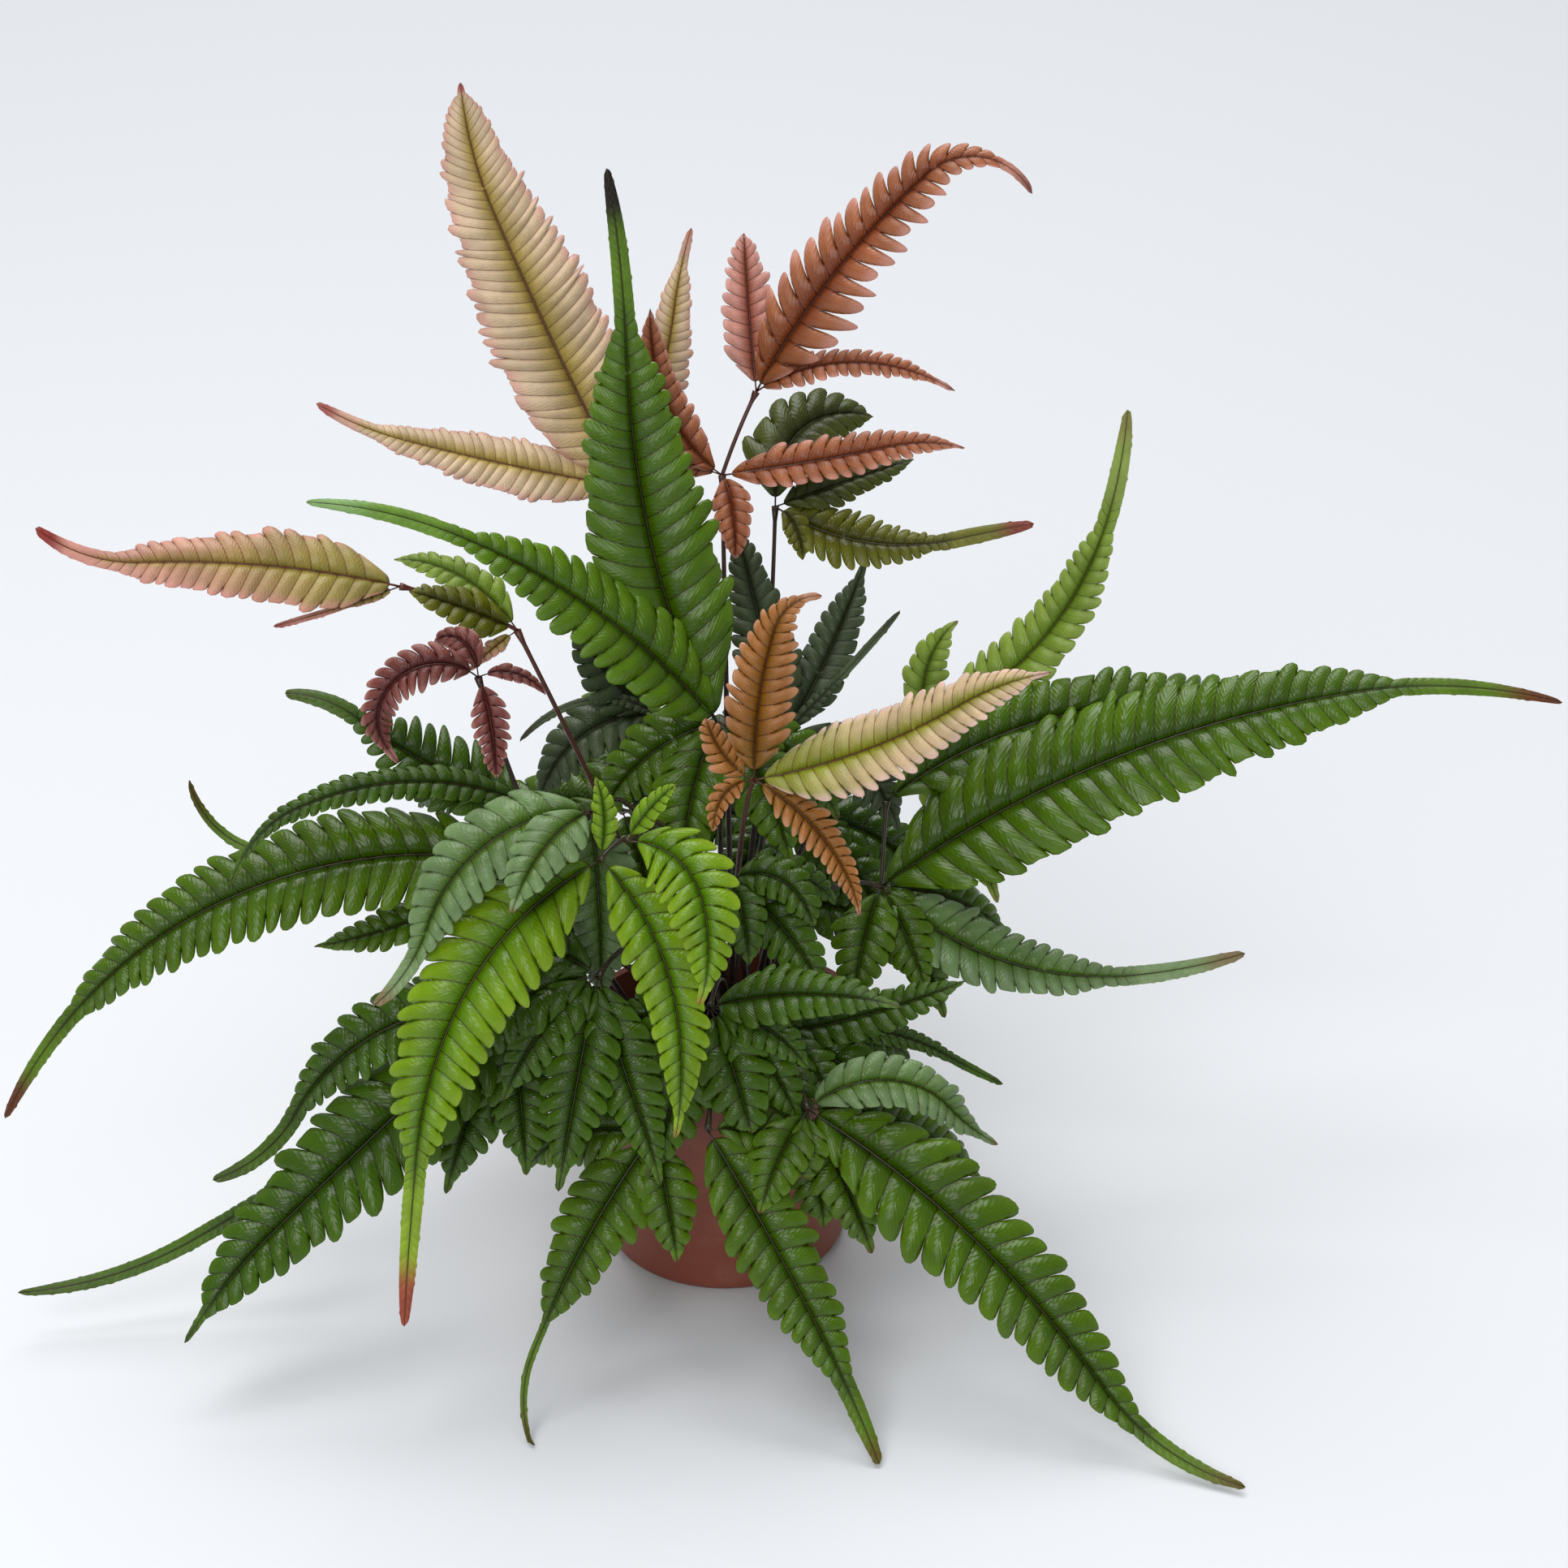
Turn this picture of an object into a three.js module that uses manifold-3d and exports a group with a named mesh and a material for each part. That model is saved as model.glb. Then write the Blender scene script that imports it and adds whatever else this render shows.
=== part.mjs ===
// Potted fern: a painted brake fern growing in a plain round grower's pot.
// Millimetres, +Z up, origin in the middle of the pot's flat underside, the fern's front at -Y.
//
// A frond is a thin stalk that rises from the crown to a fork, and a leaf: the lobed leaflets that
// spread from the fork and, on some fronds, from the end of a short stretch of midrib above it.
// Each leaflet is a thin strip as wide as its lobes reach, on a midrib that bends evenly as it goes.

import * as THREE from 'three';
import { mergeVertices } from 'three/addons/utils/BufferGeometryUtils.js';
import Module from 'manifold-3d';

const wasm = await Module();
wasm.setup();

// ---------------------------------------------------------------- driving dimensions

const pot = {
  height: 90,
  rimRadius: 55,
  baseRadius: 46,
  wall: 1.6,
  floor: 2.2,
  edgeRadius: 8,
  bandHeight: 13,
  bandStep: 1.6,
  bandTaper: 0.4,
  holeRadius: 4,
  holeCount: 4,
  holeRing: 22,
  sides: 32,
};

const soil = {
  belowRim: 14,
  dome: 2,
  domeEdge: 29,
};

const crown = {
  radius: 23,
  height: 4,
  chamfer: 1.5,
  sides: 24,
};

const plant = {
  size: 1,
  stalkRadius: 1.15,
  midribRadius: 1.0,
  forkRadius: 2.3,
  upperForkRadius: 1.95,
  bareBase: 3.5,
  leafThickness: 0.9,
};

// How a leaflet's lobes lengthen from its base and shorten towards its tail, as shares of its length.
const lobes = {
  rise: 0.07,
  fall: 2.2,
  fullness: 0.75,
};

// The strap that is left where a leaflet has no lobes: half its width, and how much a wide leaflet adds.
const strap = {
  half: 0.6,
  perWidth: 0.045,
  taper: 0.9,
};

const clearance = 0.3;
const tipAboveFloor = 1.6;

// ---------------------------------------------------------------- colours of the living leaf

const leafColours = {
  bronze: 0xb89a76,
  copper: 0x8a4a2c,
  pink: 0xb88a7c,
  maroon: 0x6b2f28,
  olive: 0x4f5a14,
  grey: 0x3c4a3c,
  silver: 0x6f8f72,
  deep: 0x23400f,
  green: 0x2f5a12,
  bright: 0x5b8a1e,
  pale: 0x7fa04a,
};

// ---------------------------------------------------------------- the fronds

// A leaflet leaves its fork towards `heading` (degrees round from +X) at `rise` degrees above level.
// Over its length the rise falls by `droop` and the heading turns by `sweep`; over the last part,
// `hook` and `swerve` are added to them. `tail` is the share of the length that has no lobes.
// `roll` turns the face about the midrib, away from the light. `end` puts it on the midrib's far end.
const leaflet = (heading, rise, length, width, more = {}) => ({
  heading,
  rise,
  length,
  width,
  droop: 0,
  sweep: 0,
  hook: 0,
  swerve: 0,
  tail: 0.1,
  roll: 0,
  end: false,
  ...more,
});

// `fork` is [heading, distance out, height up], from the crown's middle, or from the pot's rim for
// a frond that hangs over it. `root` is [heading, distance out] on the crown. The stalk bends towards
// a point `arch` above the fork, and `bow` is that point's share of the way out from root to fork.
const fronds = {
  tall_bronze: {
    colour: 'bronze',
    fork: [113, 93, 185],
    root: [105, 14],
    arch: -90,
    leaflets: [
      leaflet(150, 58, 157, 48, { droop: -3, sweep: -11, hook: -13, swerve: -27, tail: 0.06 }),
      leaflet(186, 12, 116, 26, { droop: -7, sweep: -3, hook: -15, tail: 0.16 }),
      leaflet(26, 62, 97, 19, { droop: -17, sweep: 49, hook: 14, swerve: -29, tail: 0.2 }),
    ],
  },
  tall_copper: {
    colour: 'copper',
    fork: [90, 58, 200],
    root: [70, 8],
    arch: -110,
    midrib: { heading: 38, rise: 66, length: 32, droop: 10 },
    leaflets: [
      leaflet(-6, 63, 142, 37, { droop: 27, sweep: 3, hook: 99, tail: 0.12, end: true }),
      leaflet(104, 66, 56, 22, { sweep: -6, tail: 0.03, end: true }),
      leaflet(-18, 38, 77, 15, { droop: 63, end: true }),
      leaflet(-3, 9, 88, 21, { droop: -10, sweep: -10, hook: 31, swerve: 7, tail: 0.05 }),
      leaflet(169, 32, 67, 19, { droop: -53, sweep: -72, tail: 0.05 }),
      leaflet(161, 15, 35, 12, { droop: 24, sweep: 12, tail: 0.05 }),
      leaflet(-75, 0, 36, 15, { droop: 110, tail: 0.05 }),
    ],
  },
  upper_olive: {
    colour: 'olive',
    fork: [76, 78, 181],
    root: [88, 15],
    arch: -110,
    bow: 0.85,
    leaflets: [
      leaflet(-12, -31, 98, 25, { droop: -68, sweep: 6, hook: 22, swerve: -5, tail: 0.35 }),
      leaflet(-35, -10, 24, 12, { droop: 80, sweep: -27 }),
      leaflet(90, 60, 66, 34, { droop: 80, sweep: -80, tail: 0.05 }),
      leaflet(24, 10, 57, 18, { tail: 0.05 }),
    ],
  },
  rear_grey: {
    colour: 'grey',
    fork: [58, 45, 108],
    root: [40, 9],
    arch: -20,
    leaflets: [
      leaflet(58, 32, 76, 23, { droop: -9, sweep: 8 }),
      leaflet(28, 38, 60, 7, { droop: -4, tail: 0.6 }),
      leaflet(116, 53, 79, 26, { sweep: -4, tail: 0.05 }),
      leaflet(-15, -5, 58, 26, { droop: 70 }),
      leaflet(180, 10, 50, 26, { droop: 70 }),
    ],
  },
  rear_left_grey: {
    colour: 'grey',
    fork: [118, 54, 110],
    root: [135, 12],
    arch: -20,
    leaflets: [
      leaflet(189, 39, 50, 26, { droop: -34, sweep: 9, tail: 0.05 }),
      leaflet(206, 46, 59, 7, { droop: 90, tail: 0.6 }),
      leaflet(205, 18, 60, 26, { droop: 95 }),
      leaflet(270, -10, 60, 28, { droop: 60 }),
    ],
  },
  tall_green: {
    colour: 'green',
    fork: [95, 21, 120],
    root: [95, 3],
    arch: -20,
    leaflets: [
      leaflet(172, 64, 200, 51, { droop: -28, sweep: -96, hook: 18, swerve: 55, tail: 0.26 }),
      leaflet(199, 56, 175, 38, { droop: 39, sweep: -9, hook: 9, swerve: 3, tail: 0.3 }),
      leaflet(250, -20, 60, 30, { droop: 60 }),
      leaflet(310, -15, 60, 30, { droop: 60 }),
      leaflet(-6, -10, 60, 28, { droop: 60 }),
      leaflet(190, -10, 60, 28, { droop: 60 }),
    ],
  },
  centre_young: {
    colour: 'bronze',
    fork: [-58, 22, 117],
    root: [-60, 4],
    arch: -20,
    leaflets: [
      leaflet(86, 79, 75, 26, { droop: 15, sweep: -65, hook: 70, swerve: -14 }),
      leaflet(-7, 14, 111, 32, { droop: -30, sweep: 3, hook: 31, tail: 0.06 }),
      leaflet(-25, -17, 62, 16, { droop: 48, sweep: -19, swerve: -20, tail: 0.06 }),
      leaflet(167, 23, 28, 15, { droop: -44, sweep: -37, tail: 0.05 }),
      leaflet(203, 10, 27, 10, { droop: 78, sweep: 58, tail: 0.05 }),
    ],
  },
  right_long: {
    colour: 'green',
    fork: [8, 58, 60],
    root: [10, 12],
    arch: 15,
    midrib: { heading: 83, rise: 67, length: 31, droop: 10 },
    leaflets: [
      leaflet(1, 40, 259, 54, { droop: 42, sweep: -1, hook: 14, tail: 0.22 }),
      leaflet(-18, -41, 142, 30, { droop: -79, sweep: 5, hook: 9, swerve: -5, tail: 0.33 }),
      leaflet(305, -35, 42, 22, { droop: 25 }),
      leaflet(13, 37, 187, 35, { droop: 72, sweep: -3, hook: -33, tail: 0.05, end: true }),
      leaflet(250, -20, 45, 26, { droop: 50 }),
      leaflet(330, -50, 55, 24, { droop: 20 }),
      leaflet(20, -10, 60, 28, { droop: 40 }),
    ],
  },
  right_pale: {
    colour: 'pale',
    fork: [37, 92, 101],
    root: [45, 12],
    arch: 5,
    leaflets: [
      leaflet(3, 25, 149, 28, { droop: -72, sweep: 7, hook: 9, swerve: 19, tail: 0.26 }),
      leaflet(109, 85, 44, 18, { droop: 43, sweep: -105 }),
      leaflet(295, -30, 75, 28, { droop: 10 }),
    ],
  },
  left_pink: {
    colour: 'pink',
    fork: [174, 71, 162],
    root: [165, 9],
    arch: -100,
    midrib: { heading: -171, rise: 36, length: 44, droop: 20 },
    leaflets: [
      leaflet(190, 18, 124, 31, { droop: 23, hook: -52, swerve: 2, tail: 0.2, end: true }),
      leaflet(198, -15, 45, 6, { droop: -7, tail: 0.5, end: true }),
      leaflet(159, 57, 52, 16, { droop: 62, sweep: 10, tail: 0.05 }),
      leaflet(199, 33, 42, 19, { droop: 9, tail: 0.05 }),
      leaflet(223, -15, 24, 7, { droop: 11, sweep: 5 }),
    ],
  },
  left_maroon: {
    colour: 'maroon',
    fork: [197, 85, 159],
    root: [200, 21],
    arch: -110,
    bow: 0.6,
    leaflets: [
      leaflet(192, 47, 64, 19, { droop: 183, hook: 8, swerve: -49 }),
      leaflet(-62, -35, 36, 14, { droop: 45, sweep: -20, tail: 0.05 }),
      leaflet(-2, 29, 26, 7, { droop: 88, tail: 0.05 }),
      leaflet(116, 92, 26, 13, { droop: 132, sweep: 53, tail: 0.05 }),
    ],
  },
  left_dark: {
    colour: 'deep',
    fork: [184, 71, 101],
    root: [178, 16],
    arch: 10,
    leaflets: [
      leaflet(173, 16, 92, 36, { droop: -33, hook: 52, tail: 0.3 }),
      leaflet(202, 35, 120, 15, { droop: 72, sweep: 4, hook: 29, swerve: 15 }),
      leaflet(140, 10, 60, 28, { droop: 60 }),
    ],
  },
  left_long: {
    colour: 'green',
    fork: [194, 73, 84],
    root: [195, 17],
    arch: 15,
    leaflets: [
      leaflet(191, 18, 219, 43, { droop: 83, sweep: 4, hook: -4, swerve: 7, tail: 0.2 }),
      leaflet(170, -8, 134, 12, { droop: -15, hook: -74, swerve: -14, tail: 0.35 }),
      leaflet(202, -29, 78, 22, { droop: -30, sweep: -2, tail: 0.05 }),
      leaflet(215, -75, 100, 22, { droop: -25, tail: 0.05 }),
    ],
  },
  left_silver: {
    colour: 'silver',
    fork: [226, 62, 118],
    root: [215, 15],
    arch: 15,
    leaflets: [
      leaflet(196, 12, 105, 31, { droop: 111, sweep: 30, hook: -68, swerve: -18, tail: 0.2 }),
      leaflet(234, 10, 50, 24, { droop: 70 }),
      leaflet(85, -70, 85, 28, { droop: 30 }),
    ],
  },
  front_bright: {
    colour: 'bright',
    fork: [234, 68, 105],
    root: [235, 13],
    arch: 20,
    leaflets: [
      leaflet(199, -21, 180, 43, { droop: 75, sweep: 72, hook: -39, swerve: -3, tail: 0.3 }),
      leaflet(45, 71, 29, 10, { droop: 7, sweep: 100, tail: 0.05 }),
      leaflet(-20, -40, 101, 27, { droop: 33, sweep: -90, hook: -17, tail: 0.08 }),
    ],
  },
  front_curled: {
    colour: 'bright',
    fork: [244, 69, 116],
    root: [245, 9],
    arch: 15,
    leaflets: [
      leaflet(-15, 10, 72, 30, { droop: 109, sweep: -99, hook: -55, swerve: -7 }),
      leaflet(-22, 63, 30, 11, { droop: 19, sweep: 5, tail: 0.02 }),
    ],
  },
  front_inner: {
    colour: 'deep',
    fork: [266, -3, 37],
    overRim: true,
    root: [285, 13],
    arch: 15,
    leaflets: [
      leaflet(-62, -35, 46, 30, { droop: 25, tail: 0.05 }),
      leaflet(205, 5, 34, 20, { droop: 75 }),
      leaflet(-20, 5, 42, 20, { droop: 60 }),
      leaflet(238, -45, 62, 30, { droop: 10 }),
      leaflet(335, 30, 75, 24, { droop: 30 }),
      leaflet(330, -20, 52, 26, { droop: 50 }),
      leaflet(180, 10, 45, 22, { droop: 70 }),
    ],
  },
  centre_small: {
    colour: 'deep',
    fork: [-80, 18, 76],
    root: [320, 12],
    arch: -5,
    leaflets: [
      leaflet(-15, 44, 42, 19, { droop: 116, sweep: -33, tail: 0.05 }),
      leaflet(-75, 10, 36, 20, { droop: 90 }),
      leaflet(245, 10, 45, 22, { droop: 100 }),
      leaflet(14, 20, 45, 20, { droop: 80 }),
      leaflet(-40, -10, 55, 24, { droop: 50 }),
    ],
  },
  right_inner: {
    colour: 'deep',
    fork: [-56, -19, 13],
    overRim: true,
    root: [330, 18],
    arch: 25,
    leaflets: [
      leaflet(-5, 13, 71, 20, { droop: -16, tail: 0.05 }),
      leaflet(5, 12, 89, 12, { droop: 66, hook: -23, tail: 0.2 }),
      leaflet(-50, 0, 38, 20, { droop: 60 }),
      leaflet(14, 10, 55, 28, { droop: 60 }),
      leaflet(-25, -5, 55, 28, { droop: 40 }),
      leaflet(-80, -10, 42, 24, { droop: 50 }),
    ],
  },
  low_left: {
    colour: 'deep',
    fork: [207, 28, 29],
    overRim: true,
    root: [222, 20],
    arch: 40,
    leaflets: [
      leaflet(211, -32, 161, 48, { sweep: 4, hook: 14, swerve: 7, tail: 0.08 }),
      leaflet(192, 15, 130, 31, { droop: 106, sweep: 9, hook: -78, swerve: -8, tail: 0.3 }),
      leaflet(191, -43, 211, 22, { droop: -22, hook: -24, tail: 0.4 }),
      leaflet(255, -35, 50, 24, { droop: 45 }),
      leaflet(280, -40, 60, 28, { droop: 30 }),
      leaflet(235, -45, 70, 30, { droop: 20 }),
    ],
  },
  front_left: {
    colour: 'deep',
    fork: [231, 12, 50],
    overRim: true,
    root: [240, 19],
    arch: 25,
    leaflets: [
      leaflet(-68, -50, 75, 27, { droop: 5, sweep: 20, hook: 8, swerve: -15 }),
      leaflet(160, 35, 60, 26, { droop: 90 }),
      leaflet(215, -20, 55, 24, { droop: 45 }),
      leaflet(255, -45, 75, 28, { droop: 10 }),
      leaflet(190, 0, 65, 30, { droop: 70 }),
    ],
  },
  low_front_left: {
    colour: 'green',
    fork: [252, 21, -2],
    overRim: true,
    root: [255, 18],
    arch: 50,
    leaflets: [
      leaflet(220, -40, 121, 32, { droop: 19, sweep: 16, hook: -3, swerve: 79, tail: 0.4 }),
      leaflet(165, 10, 55, 28, { droop: 70 }),
      leaflet(290, -40, 45, 24, { droop: 30 }),
    ],
  },
  low_front_right: {
    colour: 'green',
    fork: [267, 25, 5],
    overRim: true,
    root: [275, 19],
    arch: 30,
    leaflets: [
      leaflet(-42, -45, 127, 32, { droop: 4, sweep: -9, hook: 3, swerve: -3, tail: 0.22 }),
      leaflet(16, 0, 45, 22, { droop: 60 }),
    ],
  },
  low_right: {
    colour: 'green',
    fork: [294, 20, 6],
    overRim: true,
    root: [300, 19],
    arch: 30,
    leaflets: [
      leaflet(-27, -20, 197, 43, { droop: 33, sweep: -13, hook: -53, swerve: 16, tail: 0.2 }),
      leaflet(4, 49, 81, 22, { droop: 146, sweep: 2, hook: -64 }),
      leaflet(262, -15, 25, 22, { droop: 65, tail: 0.05 }),
      leaflet(288, -55, 42, 26, { droop: 20 }),
      leaflet(315, -45, 55, 26, { droop: 20 }),
      leaflet(240, -10, 42, 24, { droop: 50 }),
      leaflet(20, -10, 85, 24, { droop: 50 }),
    ],
  },
  back_left: {
    colour: 'green',
    fork: [125, 68, 66],
    root: [140, 18],
    arch: 20,
    leaflets: [
      leaflet(95, 30, 140, 40, { droop: 75, tail: 0.2 }),
      leaflet(125, 10, 90, 30, { droop: 70, tail: 0.15 }),
      leaflet(205, 10, 55, 26, { droop: 80 }),
      leaflet(290, -10, 55, 28, { droop: 60 }),
      leaflet(170, 15, 70, 30, { droop: 60 }),
    ],
  },
  back_right: {
    colour: 'deep',
    fork: [72, 68, 58],
    root: [30, 18],
    arch: 20,
    leaflets: [
      leaflet(85, 25, 120, 36, { droop: 80, tail: 0.2 }),
      leaflet(55, 0, 70, 26, { droop: 60, tail: 0.15 }),
      leaflet(-5, 10, 75, 30, { droop: 80 }),
      leaflet(168, 10, 60, 28, { droop: 70 }),
      leaflet(232, -10, 50, 26, { droop: 60 }),
      leaflet(330, -10, 70, 30, { droop: 60 }),
    ],
  },
  low_back_left: {
    colour: 'deep',
    fork: [110, 22, 5],
    overRim: true,
    root: [110, 20],
    arch: 45,
    leaflets: [
      leaflet(105, -10, 110, 38, { droop: 60, tail: 0.2 }),
      leaflet(190, 10, 65, 30, { droop: 70 }),
    ],
  },
  low_back_right: {
    colour: 'green',
    fork: [75, 22, 8],
    overRim: true,
    root: [52, 21],
    arch: 45,
    leaflets: [
      leaflet(80, -15, 105, 36, { droop: 50, tail: 0.2 }),
      leaflet(-8, 10, 70, 32, { droop: 70 }),
      leaflet(178, 25, 42, 28, { droop: 60 }),
    ],
  },
};

// ---------------------------------------------------------------- small helpers

const degree = Math.PI / 180;
const light = new THREE.Vector3(0, -0.6, 0.8);
const fineSteps = 48;
const stalkSteps = 6;
const tailFrom = 0.7;
const usualBow = 0.3;

const soilTop = pot.height - soil.belowRim;
const crownTop = soilTop + soil.dome + crown.height;

/** A point at a heading and distance from the Z axis, at a height. */
const around = (heading, out, up) =>
  new THREE.Vector3(out * Math.cos(heading * degree), out * Math.sin(heading * degree), up);

/** A closed geometry as a solid of the boolean library. */
function solid(geometry) {
  const bare = geometry.clone();
  bare.deleteAttribute('normal');
  bare.deleteAttribute('uv');
  const merged = mergeVertices(bare, 1e-4);
  return new wasm.Manifold(
    new wasm.Mesh({
      numProp: 3,
      vertProperties: new Float32Array(merged.attributes.position.array),
      triVerts: new Uint32Array(merged.index.array),
    }),
  );
}

/** A solid of the boolean library as a geometry. */
function geometryOf(body) {
  const mesh = body.getMesh();
  const geometry = new THREE.BufferGeometry();
  geometry.setAttribute('position', new THREE.BufferAttribute(mesh.vertProperties, 3));
  geometry.setIndex(new THREE.BufferAttribute(mesh.triVerts, 1));
  geometry.computeVertexNormals();
  return geometry;
}

const group = new THREE.Group();

/** Adds one named piece to the object. */
function addPiece(name, geometry, color, roughness) {
  const mesh = new THREE.Mesh(geometry, new THREE.MeshStandardMaterial({ color, roughness, metalness: 0 }));
  mesh.name = name;
  group.add(mesh);
}

/** A round rod along a curve, with flat ends. */
function rod(curve, radius, steps, sides = 5) {
  const section = new THREE.Shape();
  for (let i = 0; i < sides; i += 1) {
    const turn = (2 * Math.PI * i) / sides;
    const corner = [radius * Math.cos(turn), radius * Math.sin(turn)];
    if (i === 0) section.moveTo(...corner);
    else section.lineTo(...corner);
  }
  return new THREE.ExtrudeGeometry(section, { steps, extrudePath: curve, bevelEnabled: false });
}

// ---------------------------------------------------------------- pot, soil and crown

/** Radius of the pot's outer wall at a height, below its rim band. */
const wallRadius = (z) => pot.baseRadius + ((pot.rimRadius - pot.bandStep - pot.baseRadius) * z) / pot.height;

/** The pot: a tapered cup with a rounded lower edge, a thicker band at its rim and holes in its floor. */
function potGeometry() {
  const bandFoot = pot.height - pot.bandHeight;
  const lip = pot.wall / 2;
  const profile = new THREE.Path();
  profile.moveTo(0, 0);
  profile.lineTo(wallRadius(0) - pot.edgeRadius, 0);
  profile.quadraticCurveTo(wallRadius(0), 0, wallRadius(pot.edgeRadius), pot.edgeRadius);
  profile.lineTo(wallRadius(bandFoot), bandFoot);
  profile.lineTo(pot.rimRadius - pot.bandTaper, bandFoot + pot.bandStep);
  profile.lineTo(pot.rimRadius, pot.height - lip);
  profile.lineTo(pot.rimRadius - lip, pot.height);
  profile.lineTo(wallRadius(pot.height) - pot.wall + lip, pot.height);
  profile.lineTo(wallRadius(pot.height) - pot.wall, pot.height - lip);
  profile.lineTo(wallRadius(pot.edgeRadius) - pot.wall, pot.edgeRadius);
  profile.lineTo(wallRadius(0) - pot.edgeRadius, pot.floor);
  profile.lineTo(0, pot.floor);
  let cup = solid(new THREE.LatheGeometry(profile.getPoints(4), pot.sides).rotateX(Math.PI / 2));
  for (let i = 0; i < pot.holeCount; i += 1) {
    const drill = new THREE.CylinderGeometry(pot.holeRadius, pot.holeRadius, 4 * pot.floor, 16);
    const place = around((360 * (i + 0.5)) / pot.holeCount, pot.holeRing, pot.floor / 2);
    drill.rotateX(Math.PI / 2);
    drill.translate(place.x, place.y, place.z);
    cup = cup.subtract(solid(drill));
  }
  return geometryOf(cup);
}

/** The soil plug: it fills the pot a clearance inside its wall and floor, with a slightly domed top. */
function soilGeometry() {
  const inside = (z) => wallRadius(z) - pot.wall - clearance;
  const profile = new THREE.Path();
  profile.moveTo(0, pot.floor + clearance);
  profile.lineTo(inside(0) - pot.edgeRadius, pot.floor + clearance);
  profile.lineTo(inside(pot.edgeRadius), pot.edgeRadius + clearance);
  profile.lineTo(inside(soilTop), soilTop);
  profile.lineTo(soil.domeEdge, soilTop + soil.dome);
  profile.lineTo(0, soilTop + soil.dome);
  return new THREE.LatheGeometry(profile.getPoints(), pot.sides).rotateX(Math.PI / 2);
}

/** The crown: a low woody mound on the soil that every stalk grows from. */
function crownGeometry() {
  const foot = soilTop + soil.dome + clearance;
  const profile = new THREE.Path();
  profile.moveTo(0, foot);
  profile.lineTo(crown.radius, foot);
  profile.lineTo(crown.radius, crownTop - crown.chamfer);
  profile.lineTo(crown.radius - crown.chamfer, crownTop);
  profile.lineTo(0, crownTop);
  return new THREE.LatheGeometry(profile.getPoints(), crown.sides).rotateX(Math.PI / 2);
}

// ---------------------------------------------------------------- stalks and leaves

/** The points of a midrib whose direction changes evenly: `fineSteps` short lines end to end. */
function bend(start, { heading, rise, length, droop = 0, sweep = 0, hook = 0, swerve = 0 }) {
  const points = [start.clone()];
  const stride = (length * plant.size) / fineSteps;
  for (let i = 0; i < fineSteps; i += 1) {
    const t = (i + 0.5) / fineSteps;
    const late = Math.max(0, (t - tailFrom) / (1 - tailFrom));
    const up = (rise - droop * t - hook * late) * degree;
    const turn = (heading + sweep * t + swerve * late) * degree;
    const step = new THREE.Vector3(
      Math.cos(up) * Math.cos(turn),
      Math.cos(up) * Math.sin(turn),
      Math.sin(up),
    );
    points.push(points[i].clone().addScaledVector(step, stride));
  }
  return points;
}

/** Half of a leaflet's width at a share t of its length: a bare base, lobes, then a narrow strap. */
function halfWidth({ width, length, tail }, t) {
  const bare = plant.bareBase / length;
  const u = Math.min(1, Math.max(0, t - bare) / (1 - tail - bare));
  const lobed = (width / 2) * (1 - Math.exp(-u / lobes.rise)) * (1 - u ** lobes.fall) ** lobes.fullness;
  const plain = (strap.half + strap.perWidth * width) * Math.sqrt(1 - strap.taper * t ** 8);
  return plant.size * Math.max(lobed, plain);
}

/** How many flat parts a leaflet's strip is made of: the longer it is, the more. */
function partsFor(length) {
  if (length > 100) return 8;
  return length > 40 ? 6 : 4;
}

/** One leaflet: a closed strip of even thickness whose face is turned to the light. */
function stripGeometry(start, leaf) {
  const path = bend(start, leaf);
  const parts = partsFor(leaf.length);
  const stations = [0, Math.ceil((plant.bareBase / leaf.length) * fineSteps)];
  for (let k = 1; k <= parts; k += 1) {
    stations.push((k * fineSteps) / parts);
  }
  const sections = stations.length - 1;
  const corners = [];
  for (const i of stations) {
    const before = path[Math.max(0, i - 1)];
    const after = path[Math.min(fineSteps, i + 1)];
    const along = after.clone().sub(before).normalize();
    const face = light.clone().addScaledVector(along, -light.dot(along)).normalize();
    face.applyAxisAngle(along, leaf.roll * degree);
    const side = new THREE.Vector3().crossVectors(along, face);
    const half = halfWidth(leaf, i / fineSteps);
    const middle = path[i].clone();
    middle.z = Math.max(middle.z, tipAboveFloor + half * Math.abs(side.z));
    side.multiplyScalar(half);
    face.multiplyScalar(plant.leafThickness / 2);
    corners.push(middle.clone().add(side).add(face));
    corners.push(middle.clone().sub(side).add(face));
    corners.push(middle.clone().sub(side).sub(face));
    corners.push(middle.clone().add(side).sub(face));
  }
  const faces = [0, 1, 2, 0, 2, 3];
  for (let k = 0; k < sections; k += 1) {
    for (let c = 0; c < 4; c += 1) {
      const a = 4 * k + c;
      const b = 4 * k + ((c + 1) % 4);
      faces.push(a, a + 4, b, b, a + 4, b + 4);
    }
  }
  const last = 4 * sections;
  faces.push(last, last + 2, last + 1, last, last + 3, last + 2);
  const geometry = new THREE.BufferGeometry().setFromPoints(corners);
  geometry.setIndex(faces);
  return geometry;
}

/** A small knot of plant tissue where leaflets join. */
const knot = (place, radius) =>
  solid(new THREE.IcosahedronGeometry(radius, 0).translate(place.x, place.y, place.z));

/** Where a frond forks. */
function forkOf({ fork: [heading, out, up], overRim }) {
  return overRim
    ? around(heading, pot.rimRadius + out * plant.size, pot.height + up * plant.size)
    : around(heading, out * plant.size, crownTop + up * plant.size);
}

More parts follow.
